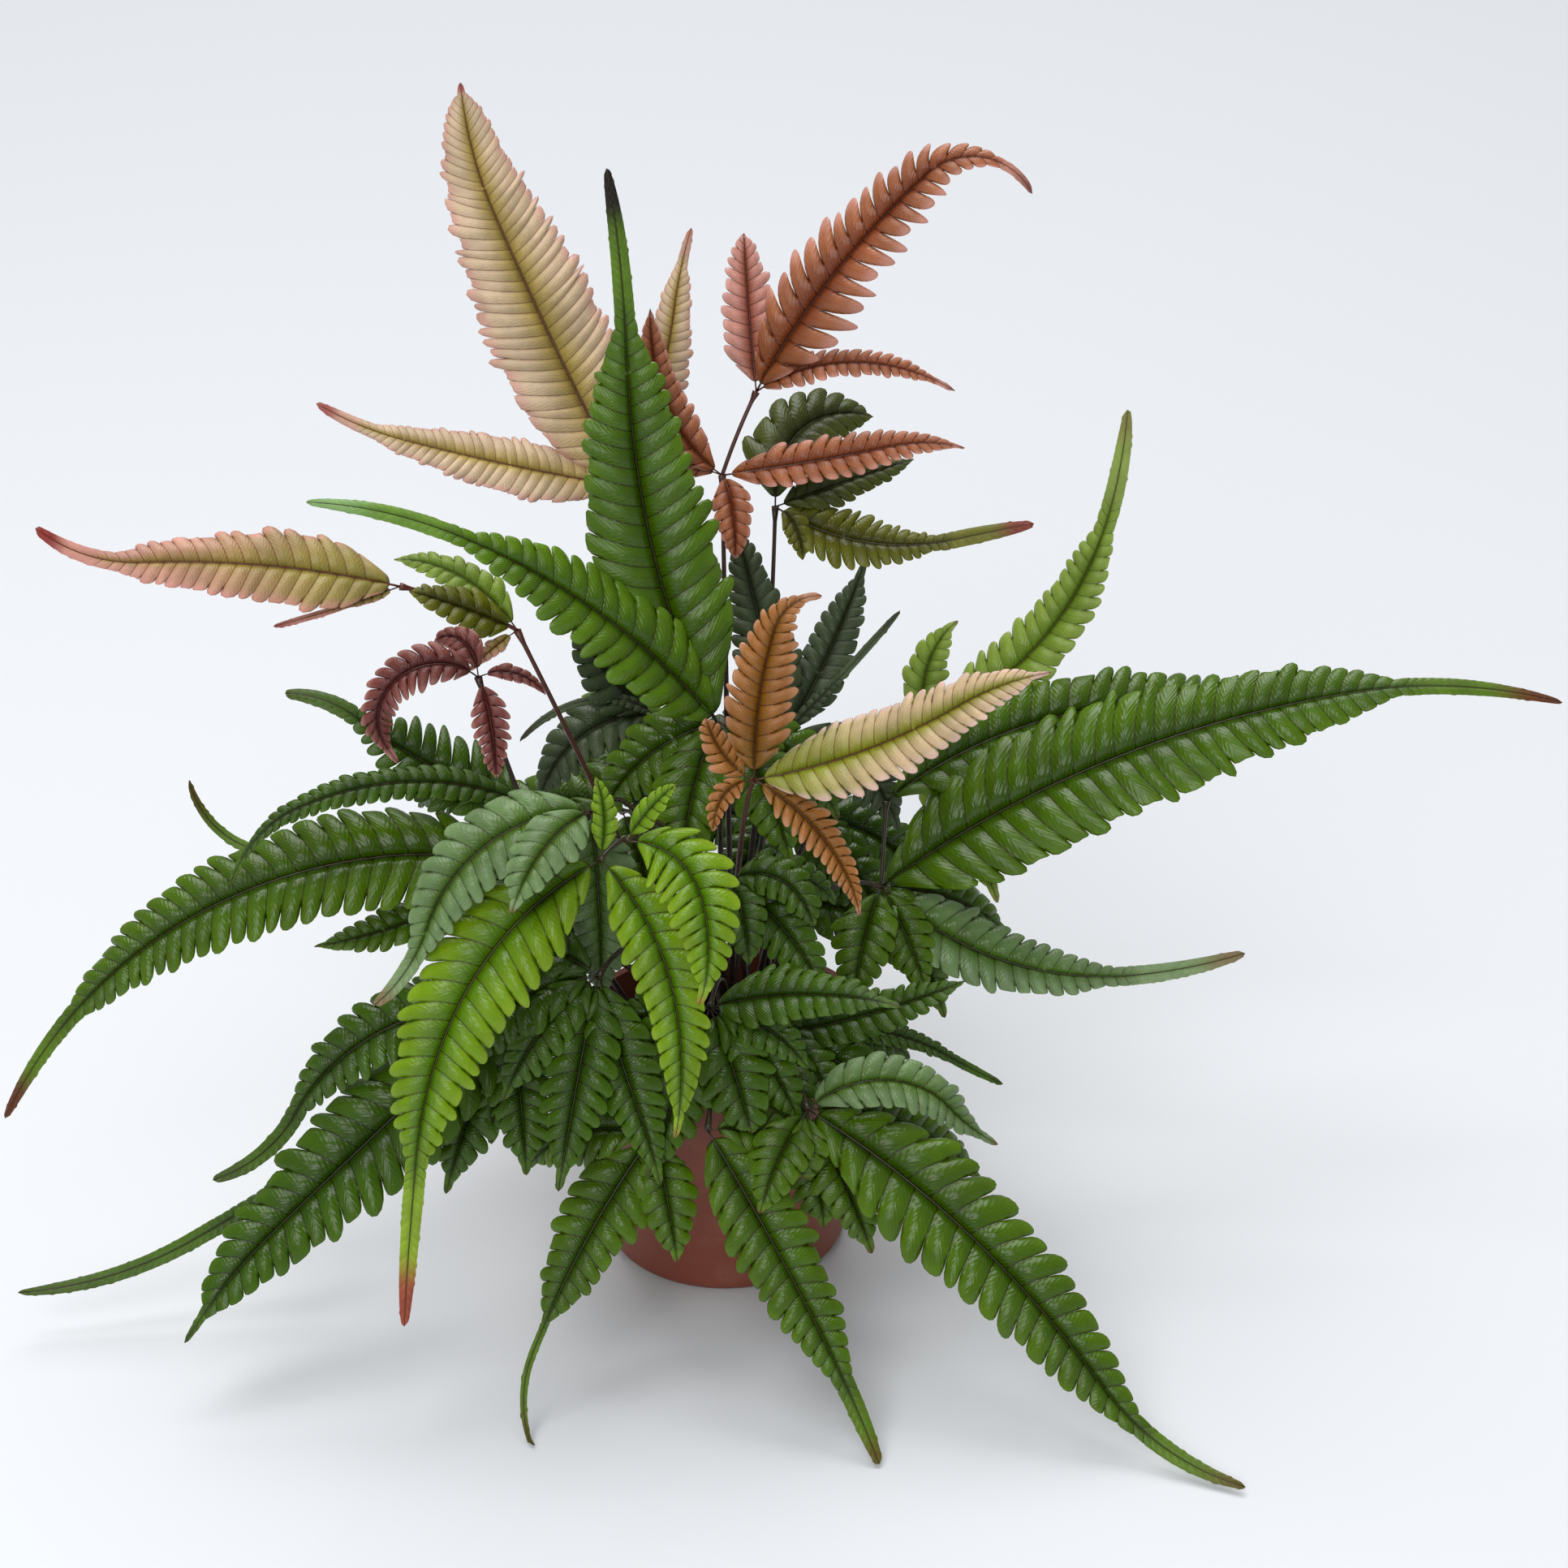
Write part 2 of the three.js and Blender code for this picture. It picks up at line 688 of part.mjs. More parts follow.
/** The stalk's curve, from the crown to just short of the fork's knot. */
function stalkCurve(frond) {
  const [heading, out] = frond.root;
  const foot = around(heading, out * plant.size, crownTop + clearance + plant.stalkRadius);
  const top = forkOf(frond);
  const aim = foot.clone().lerp(top, frond.bow ?? usualBow);
  aim.z = top.z + frond.arch * plant.size;
  const whole = new THREE.QuadraticBezierCurve3(foot, aim, top);
  const kept = 1 - (plant.forkRadius + 3 * clearance) / whole.getLength();
  const points = [];
  for (let i = 0; i <= stalkSteps; i += 1) {
    points.push(whole.getPointAt((kept * i) / stalkSteps));
  }
  return new THREE.CatmullRomCurve3(points);
}

/** The leaf of a frond: its leaflets, its knots and any midrib between them, grown together. */
function leafGeometry(frond) {
  const fork = forkOf(frond);
  let body = knot(fork, plant.forkRadius);
  let end = fork;
  if (frond.midrib) {
    const line = bend(fork, frond.midrib);
    end = line[fineSteps];
    const curve = new THREE.CatmullRomCurve3([0, 0.25, 0.5, 0.75, 1].map((t) => line[t * fineSteps]));
    body = body.add(solid(rod(curve, plant.midribRadius, 4)));
    body = body.add(knot(end, plant.upperForkRadius));
  }
  for (const leaf of frond.leaflets) {
    body = body.add(solid(stripGeometry(leaf.end ? end : fork, leaf)));
  }
  return geometryOf(body);
}

// ---------------------------------------------------------------- the object

addPiece('pot', potGeometry(), 0x6a2c1f, 0.55);
addPiece('soil', soilGeometry(), 0x2a1d14, 0.95);
addPiece('rhizome_crown', crownGeometry(), 0x3a2416, 0.9);

for (const [name, frond] of Object.entries(fronds)) {
  addPiece(`${name}_stalk`, rod(stalkCurve(frond), plant.stalkRadius, stalkSteps), 0x1d120c, 0.35);
  addPiece(`${name}_leaf`, leafGeometry(frond), leafColours[frond.colour], 0.4);
}

export default group;
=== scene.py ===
"""Potted painted brake fern: its looks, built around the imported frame.

The frame gives the pot, the soil, the crown, and a stalk and a leaf for each frond. This script
replaces each of them with a fine surface in the same place:

- A frond's blades are leaflets cut into rounded, puffed lobes. Their midribs follow the frame's
  leaf strips, so the table of fronds below repeats the sizes that those strips were made from.
- A frond's stalk, forks and midribs are one thin dark piece, as they grow.
- The pot is a moulded shell, the soil is crumbly, and the crown is a scaly mound.

Lengths in the table are millimetres and angles are degrees; meshes are made in metres.
"""

import logging
import math
from dataclasses import dataclass
from enum import Enum

import bmesh
import bpy
import numpy as np
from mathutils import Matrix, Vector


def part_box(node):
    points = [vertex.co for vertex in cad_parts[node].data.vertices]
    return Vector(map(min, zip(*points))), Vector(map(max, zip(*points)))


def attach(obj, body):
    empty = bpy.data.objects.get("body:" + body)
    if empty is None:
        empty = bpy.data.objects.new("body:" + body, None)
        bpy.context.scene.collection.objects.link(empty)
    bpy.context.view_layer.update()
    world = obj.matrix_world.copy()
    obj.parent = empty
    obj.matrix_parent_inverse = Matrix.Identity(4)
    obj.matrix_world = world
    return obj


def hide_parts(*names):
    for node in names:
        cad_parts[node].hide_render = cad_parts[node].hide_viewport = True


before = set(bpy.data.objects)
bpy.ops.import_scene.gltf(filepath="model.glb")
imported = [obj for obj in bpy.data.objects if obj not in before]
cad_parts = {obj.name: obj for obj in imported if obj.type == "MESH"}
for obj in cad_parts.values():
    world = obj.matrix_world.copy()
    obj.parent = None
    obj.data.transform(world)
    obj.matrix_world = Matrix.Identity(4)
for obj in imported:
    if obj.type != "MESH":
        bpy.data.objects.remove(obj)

LOG = logging.getLogger("fern")
MM = 0.001
# The direction that the leaves turn their faces to.
LIGHT = np.array([0.0, -0.6, 0.8])
# Points of a mesh that are closer than this, in millimetres, become one.
MERGE_WITHIN = 0.002


# ---------------------------------------------------------------- finishes


def tint(code: str) -> tuple[float, float, float, float]:
    """Turn a six-digit screen colour into a linear colour.

    Args:
        code: The colour as it looks on a screen, such as "8a4a2c".

    Returns:
        Red, green, blue and alpha for a shader socket.
    """
    screen = np.array([int(code[i : i + 2], 16) for i in (0, 2, 4)]) / 255
    linear = np.where(screen > 0.04045, ((screen + 0.055) / 1.055) ** 2.4, screen / 12.92)
    return (*linear.tolist(), 1.0)


@dataclass(frozen=True)
class LeafFinish:
    """The colours and gloss of one kind of living leaf.

    `face` is the lobes' colour, `heart` the colour beside the midrib, `young` the colour at the
    leaflet's base, `edge` the lobes' rims and the tail's pale, partly painted sheen, `tip` the
    narrow tail's end and `vein` the veins' colour, also laid as painted shade in the cuts between
    joined lobes. `reach` is how far along the leaflet the base colour goes, and `rim` and
    `veins` are the strengths of the rim tint and of the dark lines: veins and painted crease shade.
    """

    slot: str
    face: str
    heart: str
    young: str
    edge: str
    tip: str
    vein: str
    reach: float = 0.0
    rim: float = 0.4
    veins: float = 0.8
    gloss: float = 0.36
    mottle: float = 0.5


class Leaf(Enum):
    """The kinds of leaf on the fern, from the youngest to the oldest; the silver kind adds a painted sheen.
    """

    BRONZE = LeafFinish(
        "leaf_bronze", face="dcc19e", heart="b49c50", young="c8ac72", edge="dfa298", tip="b8625a",
        vein="6a3c2c", reach=0.3, rim=0.75, veins=0.62, gloss=0.36,
    )
    BLUSH = LeafFinish(
        "leaf_bronze", face="d4b88e", heart="8c8c20", young="8a9420", edge="ecc4bc", tip="dca49c",
        vein="5a3220", reach=0.5, rim=0.8, veins=0.65, gloss=0.36,
    )
    COPPER = LeafFinish(
        "leaf_copper", face="ac6844", heart="84401e", young="8c4a1c", edge="dc9e90", tip="84423a",
        vein="46180f", reach=0.25, rim=0.7, veins=0.75, gloss=0.28,
    )
    ROSE = LeafFinish(
        "leaf_copper", face="cc8e80", heart="a05c48", young="a86040", edge="e4b4ac", tip="a05a54",
        vein="54201a", reach=0.15, rim=0.7, veins=0.75, gloss=0.28,
    )
    EMBER = LeafFinish(
        "leaf_bronze", face="a86c30", heart="845410", young="86601c", edge="d8a080", tip="bc6844",
        vein="48200f", reach=0.3, rim=0.6, veins=0.75, gloss=0.30,
    )
    PINK = LeafFinish(
        "leaf_pink", face="d09a84", heart="a88648", young="948c3c", edge="e0988e", tip="a03c36",
        vein="5e281a", reach=0.75, rim=0.7, veins=0.65, gloss=0.34,
    )
    MAROON = LeafFinish(
        "leaf_maroon", face="7c4038", heart="521c18", young="582a22", edge="c08c80", tip="6e2c24",
        vein="300f0c", reach=0.2, rim=0.6, veins=0.7, gloss=0.30,
    )
    OLIVE = LeafFinish(
        "leaf_olive", face="636604", heart="444600", young="565a02", edge="84841a", tip="84301c",
        vein="2a2004", rim=0.4, veins=0.7, gloss=0.30,
    )
    SHADE = LeafFinish(
        "leaf_olive", face="46500a", heart="343c04", young="3c4406", edge="5a6218", tip="4a2a18",
        vein="1c1a04", rim=0.4, veins=0.7, gloss=0.38,
    )
    GREY = LeafFinish(
        "leaf_grey", face="465434", heart="364426", young="3c4a28", edge="566844", tip="4a4030",
        vein="22240f", rim=0.4, veins=0.5, gloss=0.42,
    )
    # This paler grey-green is the leaves' own green with a painted whitish sheen, the sheen that glossy
    # leaves show when they reflect the bright surroundings.
    SILVER = LeafFinish(
        "leaf_silver", face="708c58", heart="507024", young="587428", edge="8ca474", tip="84442c",
        vein="2c3008", rim=0.4, veins=0.6, gloss=0.28,
    )
    DEEP = LeafFinish(
        "leaf_deep", face="3e5e04", heart="2e4a02", young="345202", edge="527412", tip="465212",
        vein="1c1c04", rim=0.35, veins=0.7, gloss=0.25,
    )
    GREEN = LeafFinish(
        "leaf_green", face="4a6a02", heart="385602", young="406002", edge="648612", tip="6c3818",
        vein="242204", rim=0.35, veins=0.7, gloss=0.25,
    )
    # LUSH's pale tip colour is the tail's paler young green, partly a painted sheen.
    LUSH = LeafFinish(
        "leaf_green", face="577a04", heart="426402", young="4a6c04", edge="7ca83c", tip="84ac64",
        vein="262604", rim=0.35, veins=0.7, gloss=0.25,
    )
    SPIRE = LeafFinish(
        "leaf_green", face="4e7004", heart="3c5a02", young="446402", edge="688c1c", tip="1c120a",
        vein="222204", rim=0.35, veins=0.7, gloss=0.25,
    )
    BRIGHT = LeafFinish(
        "leaf_bright", face="74980a", heart="527a02", young="5e8604", edge="9cba30", tip="a44c34",
        vein="343404", rim=0.4, veins=0.7, gloss=0.26,
    )
    PALE = LeafFinish(
        "leaf_pale", face="86a038", heart="6a8820", young="749028", edge="a6bc60", tip="8a7048",
        vein="44480c", rim=0.4, veins=0.55, gloss=0.30,
    )


class Socket:
    """Names of the attributes that a mesh carries for its shader."""

    PLACE = "leaf_place"
    LOBE = "lobe_place"
    AGE = "stalk_age"
    VEIN = "vein_colour"


class NodeSheet:
    """Short forms for placing and joining the nodes of one shader tree."""

    def __init__(self, tree: bpy.types.NodeTree) -> None:
        """Take the tree that the nodes go into."""
        self.tree = tree

    def add(self, kind: str, **settings: object) -> bpy.types.Node:
        """Place a node.

        Args:
            kind: The node's type, such as "ShaderNodeMath".
            settings: Values for the node's own properties.

        Returns:
            The new node.
        """
        node = self.tree.nodes.new(kind)
        for name, value in settings.items():
            setattr(node, name, value)
        return node

    def feed(self, socket: bpy.types.NodeSocket, value: object) -> None:
        """Join a socket to another's output, or set it to a plain value."""
        if isinstance(value, bpy.types.NodeSocket):
            self.tree.links.new(value, socket)
        else:
            socket.default_value = value

    def math(
        self, operation: str, first: object, second: object = 0.0, clamp: bool = True
    ) -> bpy.types.NodeSocket:
        """Combine two numbers, kept within 0..1 unless told otherwise."""
        node = self.add("ShaderNodeMath", operation=operation, use_clamp=clamp)
        self.feed(node.inputs[0], first)
        self.feed(node.inputs[1], second)
        return node.outputs[0]

    def ramp(self, value: object, low: float, high: float, start: float = 0.0, end: float = 1.0) -> object:
        """Rise smoothly from start to end as the value goes from low to high."""
        node = self.add("ShaderNodeMapRange", interpolation_type="SMOOTHSTEP")
        names = ("Value", "From Min", "From Max", "To Min", "To Max")
        for name, number in zip(names, (value, low, high, start, end)):
            self.feed(node.inputs[name], number)
        return node.outputs["Result"]

    def mix(self, share: object, first: object, second: object, blend: str = "MIX") -> bpy.types.NodeSocket:
        """Mix two colours by a share of the second."""
        node = self.add("ShaderNodeMix", data_type="RGBA", blend_type=blend)
        self.feed(node.inputs["Factor"], share)
        self.feed(node.inputs[6], first)
        self.feed(node.inputs[7], second)
        return node.outputs[2]

    def noise(self, scale: float, detail: float = 3.0, roughness: float = 0.55) -> bpy.types.NodeSocket:
        """Soft random values over the object's own coordinates, at a scale per metre."""
        place = self.add("ShaderNodeTexCoord")
        node = self.add("ShaderNodeTexNoise")
        self.feed(node.inputs["Vector"], place.outputs["Object"])
        self.feed(node.inputs["Scale"], scale)
        self.feed(node.inputs["Detail"], detail)
        self.feed(node.inputs["Roughness"], roughness)
        return node.outputs["Fac"]

    def parts(self, attribute: str) -> tuple[bpy.types.NodeSocket, ...]:
        """The three numbers of a mesh attribute."""
        node = self.add("ShaderNodeAttribute", attribute_name=attribute)
        split = self.add("ShaderNodeSeparateXYZ")
        self.feed(split.inputs[0], node.outputs["Vector"])
        return tuple(split.outputs)


def shader_group(
    name: str, inputs: dict[str, object], outputs: dict[str, str]
) -> tuple[NodeSheet, dict, bpy.types.Node]:
    """Start a node group.

    Args:
        name: The group's name.
        inputs: Each input's name and its default: a number, or a colour of four numbers.
        outputs: Each output's name and its socket type.

    Returns:
        The group's sheet, its input sockets by name, and its output node.
    """
    tree = bpy.data.node_groups.new(name, "ShaderNodeTree")
    for label, value in inputs.items():
        kind = "NodeSocketColor" if isinstance(value, tuple) else "NodeSocketFloat"
        tree.interface.new_socket(name=label, in_out="INPUT", socket_type=kind).default_value = value
    for label, kind in outputs.items():
        tree.interface.new_socket(name=label, in_out="OUTPUT", socket_type=kind)
    sheet = NodeSheet(tree)
    source = sheet.add("NodeGroupInput")
    return sheet, {label: source.outputs[label] for label in inputs}, sheet.add("NodeGroupOutput")


def blade_group() -> bpy.types.NodeTree:
    """Build the leaf surface that every leaf material uses.

    A lobe is its face colour, deeper beside the midrib, lighter or pinker at its rim. Dark lines
    run along the midrib and, faintly, down each lobe as veins; where lobes are joined, a dark
    line between them is painted shade in the cut.
    Fine side veins and a soft unevenness stand in the surface.

    Returns:
        A group with outputs Color, Roughness and Height.
    """
    grey = (0.5, 0.5, 0.5, 1.0)
    inputs = {"Face": grey, "Heart": grey, "Young": grey, "Edge": grey, "Tip": grey, "Vein": grey}
    inputs |= {"Reach": 0.2, "Rim": 0.4, "Veins": 0.8, "Gloss": 0.35, "Mottle": 0.5}
    outputs = {"Color": "NodeSocketColor", "Roughness": "NodeSocketFloat", "Height": "NodeSocketFloat"}
    sheet, given, out = shader_group("leaf surface", inputs, outputs)
    along, across, lobe = sheet.parts(Socket.PLACE)
    open_share, tone, tail = sheet.parts(Socket.LOBE)

    joined = sheet.ramp(open_share, 0.0, 0.5, 1.0, 0.0)
    # Painted shade: a dark line in the cut where neighbouring lobes are joined, fading out in the tail.
    crease_shade = sheet.math("MULTIPLY", sheet.ramp(lobe, 0.84, 1.0), joined)
    crease_shade = sheet.math("MULTIPLY", crease_shade, sheet.ramp(tail, 0.1, 0.5, 1.0, 0.0))
    spine = sheet.ramp(across, 0.0, 0.035, 1.0, 0.0)
    inner = sheet.ramp(across, 0.3, 0.9, 1.0, 0.0)
    centre = sheet.math("MULTIPLY", sheet.ramp(lobe, 0.0, 0.10, 0.30, 0.0), inner)
    lines = sheet.math("MAXIMUM", sheet.math("MAXIMUM", crease_shade, spine), centre)
    rim = sheet.math("MAXIMUM", sheet.ramp(open_share, 0.45, 1.0), sheet.ramp(across, 0.72, 1.0))

    reached = sheet.math("DIVIDE", along, given["Reach"])
    base = sheet.ramp(reached, 0.15, 1.0, 0.85, 0.0)
    broad = sheet.noise(55.0, 3.0)
    fine = sheet.noise(900.0, 4.0, 0.6)
    colour = sheet.mix(sheet.ramp(across, 0.05, 0.6), given["Heart"], given["Face"])
    colour = sheet.mix(base, colour, given["Young"])
    colour = sheet.mix(sheet.math("MULTIPLY", rim, given["Rim"]), colour, given["Edge"])
    # The tail pales towards the rim colour: partly its paler young tissue, partly a painted sheen on the
    # smooth strap.
    colour = sheet.mix(sheet.ramp(tail, 0.0, 0.5, 0.0, 0.6), colour, given["Edge"])
    colour = sheet.mix(sheet.ramp(tail, 0.5, 0.95), colour, given["Tip"])
    darker = sheet.mix(0.42, colour, (0.0, 0.0, 0.0, 1.0))
    patches = sheet.math("MULTIPLY", sheet.ramp(broad, 0.42, 0.62), given["Mottle"])
    colour = sheet.mix(patches, colour, darker)
    colour = sheet.mix(sheet.math("MULTIPLY", tone, 0.35), colour, darker)
    colour = sheet.mix(sheet.math("MULTIPLY", sheet.ramp(fine, 0.35, 0.7), 0.18), colour, darker)
    # The vein colour marks the midrib and each lobe's vein, and is also painted shade in the cuts between
    # lobes.
    colour = sheet.mix(sheet.math("MULTIPLY", lines, given["Veins"]), colour, given["Vein"])

    slant = sheet.math("SUBTRACT", across, sheet.math("MULTIPLY", lobe, 0.35), clamp=False)
    ribs = sheet.math("SINE", sheet.math("MULTIPLY", slant, 46.0, clamp=False), clamp=False)
    height = sheet.math("SUBTRACT", 0.75, sheet.math("MULTIPLY", lines, 0.5))
    height = sheet.math("ADD", height, sheet.math("MULTIPLY", sheet.ramp(ribs, -1.0, 1.0), 0.16))
    height = sheet.math("ADD", height, sheet.math("MULTIPLY", fine, 0.12))
    rough = sheet.math("ADD", given["Gloss"], sheet.ramp(broad, 0.3, 0.7, -0.05, 0.08))
    for name, value in (("Color", colour), ("Roughness", rough), ("Height", height)):
        sheet.feed(out.inputs[name], value)
    return sheet.tree


def new_material(name: str) -> tuple[bpy.types.Material, NodeSheet, bpy.types.Node]:
    """Make a material with an empty Principled surface.

    Args:
        name: The material's name.

    Returns:
        The material, its sheet and its Principled node.
    """
    material = bpy.data.materials.new(name)
    material.use_nodes = True
    material.node_tree.nodes.clear()
    sheet = NodeSheet(material.node_tree)
    surface = sheet.add("ShaderNodeBsdfPrincipled")
    output = sheet.add("ShaderNodeOutputMaterial")
    sheet.feed(output.inputs["Surface"], surface.outputs["BSDF"])
    return material, sheet, surface


def bump(sheet: NodeSheet, surface: bpy.types.Node, height: object, strength: float, distance: float) -> None:
    """Stand a height pattern in a surface, `distance` metres high."""
    node = sheet.add("ShaderNodeBump")
    sheet.feed(node.inputs["Strength"], strength)
    sheet.feed(node.inputs["Distance"], distance)
    sheet.feed(node.inputs["Height"], height)
    sheet.feed(surface.inputs["Normal"], node.outputs["Normal"])


class Palette:
    """Every material of the object, each made once when it is first asked for."""

    def __init__(self) -> None:
        """Start with the shared leaf surface and no materials."""
        self.group = blade_group()
        self.made: dict[str, bpy.types.Material] = {}

    def leaf(self, kind: Leaf) -> bpy.types.Material:
        """The material of one kind of leaf."""
        name = f"{kind.name.lower()}_leaf"
        if name not in self.made:
            material, sheet, surface = new_material(name)
            finish = kind.value
            node = sheet.add("ShaderNodeGroup", node_tree=self.group)
            for label in ("Face", "Heart", "Young", "Edge", "Tip", "Vein"):
                node.inputs[label].default_value = tint(getattr(finish, label.lower()))
            for label in ("Reach", "Rim", "Veins", "Gloss", "Mottle"):
                node.inputs[label].default_value = max(getattr(finish, label.lower()), 0.001)
            sheet.feed(surface.inputs["Base Color"], node.outputs["Color"])
            sheet.feed(surface.inputs["Roughness"], node.outputs["Roughness"])
            surface.inputs["Specular IOR Level"].default_value = 0.34
            bump(sheet, surface, node.outputs["Height"], 0.6, 0.6 * MM)
            self.made[name] = material
        return self.made[name]

    def stalk(self) -> bpy.types.Material:
        """Thin glossy stalks: near-black at the foot, the leaf's own vein colour further up."""
        if "stalk" not in self.made:
            material, sheet, surface = new_material("stalk")
            age, _, _ = sheet.parts(Socket.AGE)
            vein = sheet.add("ShaderNodeAttribute", attribute_name=Socket.VEIN)
            streaks = sheet.noise(700.0, 3.0)
            colour = sheet.mix(sheet.ramp(age, 0.0, 0.9), tint("1c100a"), vein.outputs["Color"])
            colour = sheet.mix(sheet.ramp(streaks, 0.4, 0.7, 0.0, 0.5), colour, tint("4a2c1a"))
            sheet.feed(surface.inputs["Base Color"], colour)
            sheet.feed(surface.inputs["Roughness"], sheet.ramp(streaks, 0.3, 0.7, 0.26, 0.42))
            bump(sheet, surface, streaks, 0.3, 0.15 * MM)
            self.made["stalk"] = material
        return self.made["stalk"]

    def pot(self) -> bpy.types.Material:
        """Reddish-brown moulded plastic with a fine matt grain and dried splashes of soil water."""
        material, sheet, surface = new_material("pot_plastic")
        grain = sheet.noise(2600.0, 2.0)
        splash = sheet.noise(70.0, 5.0, 0.65)
        colour = sheet.mix(sheet.ramp(splash, 0.45, 0.7, 0.0, 0.4), tint("85402c"), tint("9a6450"))
        colour = sheet.mix(sheet.ramp(grain, 0.4, 0.7, 0.0, 0.2), colour, tint("5a2818"))
        sheet.feed(surface.inputs["Base Color"], colour)
        sheet.feed(surface.inputs["Roughness"], sheet.ramp(splash, 0.35, 0.7, 0.42, 0.62))
        bump(sheet, surface, grain, 0.25, 0.12 * MM)
        return material

    def soil(self) -> bpy.types.Material:
        """Dark damp potting mix with paler fibres."""
        material, sheet, surface = new_material("potting_soil")
        clods = sheet.noise(260.0, 6.0, 0.7)
        fibre = sheet.noise(1400.0, 3.0, 0.7)
        colour = sheet.mix(sheet.ramp(clods, 0.3, 0.7), tint("1d130d"), tint("4a3526"))
        colour = sheet.mix(sheet.ramp(fibre, 0.62, 0.75, 0.0, 0.6), colour, tint("7a5c40"))
        sheet.feed(surface.inputs["Base Color"], colour)
        sheet.feed(surface.inputs["Roughness"], sheet.ramp(clods, 0.3, 0.7, 0.65, 0.95))
        bump(sheet, surface, clods, 0.9, 0.8 * MM)
        return material

    def crown(self) -> bpy.types.Material:
        """Woody rhizome tissue under rusty scales."""
        material, sheet, surface = new_material("crown_tissue")
        scales = sheet.noise(420.0, 5.0, 0.7)
        colour = sheet.mix(sheet.ramp(scales, 0.35, 0.65), tint("24140c"), tint("6a4228"))
        sheet.feed(surface.inputs["Base Color"], colour)
        sheet.feed(surface.inputs["Roughness"], sheet.ramp(scales, 0.3, 0.7, 0.55, 0.85))
        bump(sheet, surface, scales, 0.8, 0.6 * MM)
        return material

    def floor(self) -> bpy.types.Material:
        """A plain pale table top."""
        material, _, surface = new_material("floor")
        surface.inputs["Base Color"].default_value = tint("dfe2e6")
        surface.inputs["Roughness"].default_value = 0.8
        return material


# ---------------------------------------------------------------- meshes


@dataclass
class Patch:
    """Part of a mesh: points, faces, one material number, and named values at the points."""

    points: np.ndarray
    faces: list[list[int]]
    material: int
    values: dict[str, np.ndarray]


def grid_faces(count: int, rows: int, columns: int, flip: bool = False) -> list[list[int]]:
    """Four-sided faces of `count` separate grids of points, row after row.

    Args:
        count: How many grids there are.
        rows: Rows of faces in each grid.
        columns: Columns of faces in each grid.
        flip: Whether to turn the faces over.

    Returns:
        Each face's four point numbers.
    """
    first = np.arange(rows)[:, None] * (columns + 1) + np.arange(columns)
    quad = np.stack([first, first + columns + 1, first + columns + 2, first + 1], axis=-1).reshape(-1, 4)
    quads = quad + np.arange(count)[:, None, None] * (rows + 1) * (columns + 1)
    quads = quads.reshape(-1, 4)
    return (quads[:, ::-1] if flip else quads).tolist()


def make_object(name: str, patches: list[Patch], materials: list[bpy.types.Material]) -> bpy.types.Object:
    """Join patches into one smooth object in the scene, with touching points merged.

    Args:
        name: The piece's name.
        patches: The parts, all with the same named values.
        materials: The materials that the patches' numbers stand for.

    Returns:
        The new object, at the origin.
    """
    starts = np.cumsum([0] + [len(patch.points) for patch in patches])
    faces = [[i + int(start) for i in face] for patch, start in zip(patches, starts) for face in patch.faces]
    mesh = bpy.data.meshes.new(name)
    mesh.from_pydata(np.concatenate([patch.points for patch in patches]), [], faces)
    face_counts = [len(patch.faces) for patch in patches]
    face_materials = np.repeat([patch.material for patch in patches], face_counts)
    mesh.polygons.foreach_set("material_index", face_materials)
    for label in patches[0].values:
        is_colour = label == Socket.VEIN
        layer = mesh.attributes.new(label, "FLOAT_COLOR" if is_colour else "FLOAT_VECTOR", "POINT")
        values = np.concatenate([patch.values[label] for patch in patches]).astype(np.float32)
        layer.data.foreach_set("color" if is_colour else "vector", values.ravel())
    for material in materials:
        mesh.materials.append(material)
    work = bmesh.new()
    work.from_mesh(mesh)
    bmesh.ops.remove_doubles(work, verts=work.verts, dist=MERGE_WITHIN * MM)
    work.to_mesh(mesh)
    work.free()
    mesh.polygons.foreach_set("use_smooth", np.ones(len(mesh.polygons), bool))
    thing = bpy.data.objects.new(name, mesh)
    bpy.context.scene.collection.objects.link(thing)
    return thing


def place_piece(thing: bpy.types.Object, slot: str, *nodes: str) -> None:
    """Put a finished piece on the root body in place of the frame's own nodes."""
    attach(thing, "root")
    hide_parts(*nodes)
    LOG.info("%s: %d faces", thing.name, len(thing.data.polygons))


def smooth(value: np.ndarray, low: float, high: float) -> np.ndarray:
    """Rise smoothly from 0 to 1 as the value goes from low to high: 3x^2 - 2x^3."""
    x = np.clip((value - low) / (high - low), 0.0, 1.0)
    return x * x * (3.0 - 2.0 * x)


# ---------------------------------------------------------------- the fronds' sizes


@dataclass(frozen=True)
class Arc:
    """A line that leaves at a heading and a rise and bends evenly.

    Over its length the rise falls by `droop` and the heading turns by `sweep`; over the last
    part, `hook` and `swerve` are added to them. Degrees, and millimetres for the length.
    """

    heading: float
    rise: float
    length: float
    width: float = 0.0
    droop: float = 0.0
    sweep: float = 0.0
    hook: float = 0.0
    swerve: float = 0.0


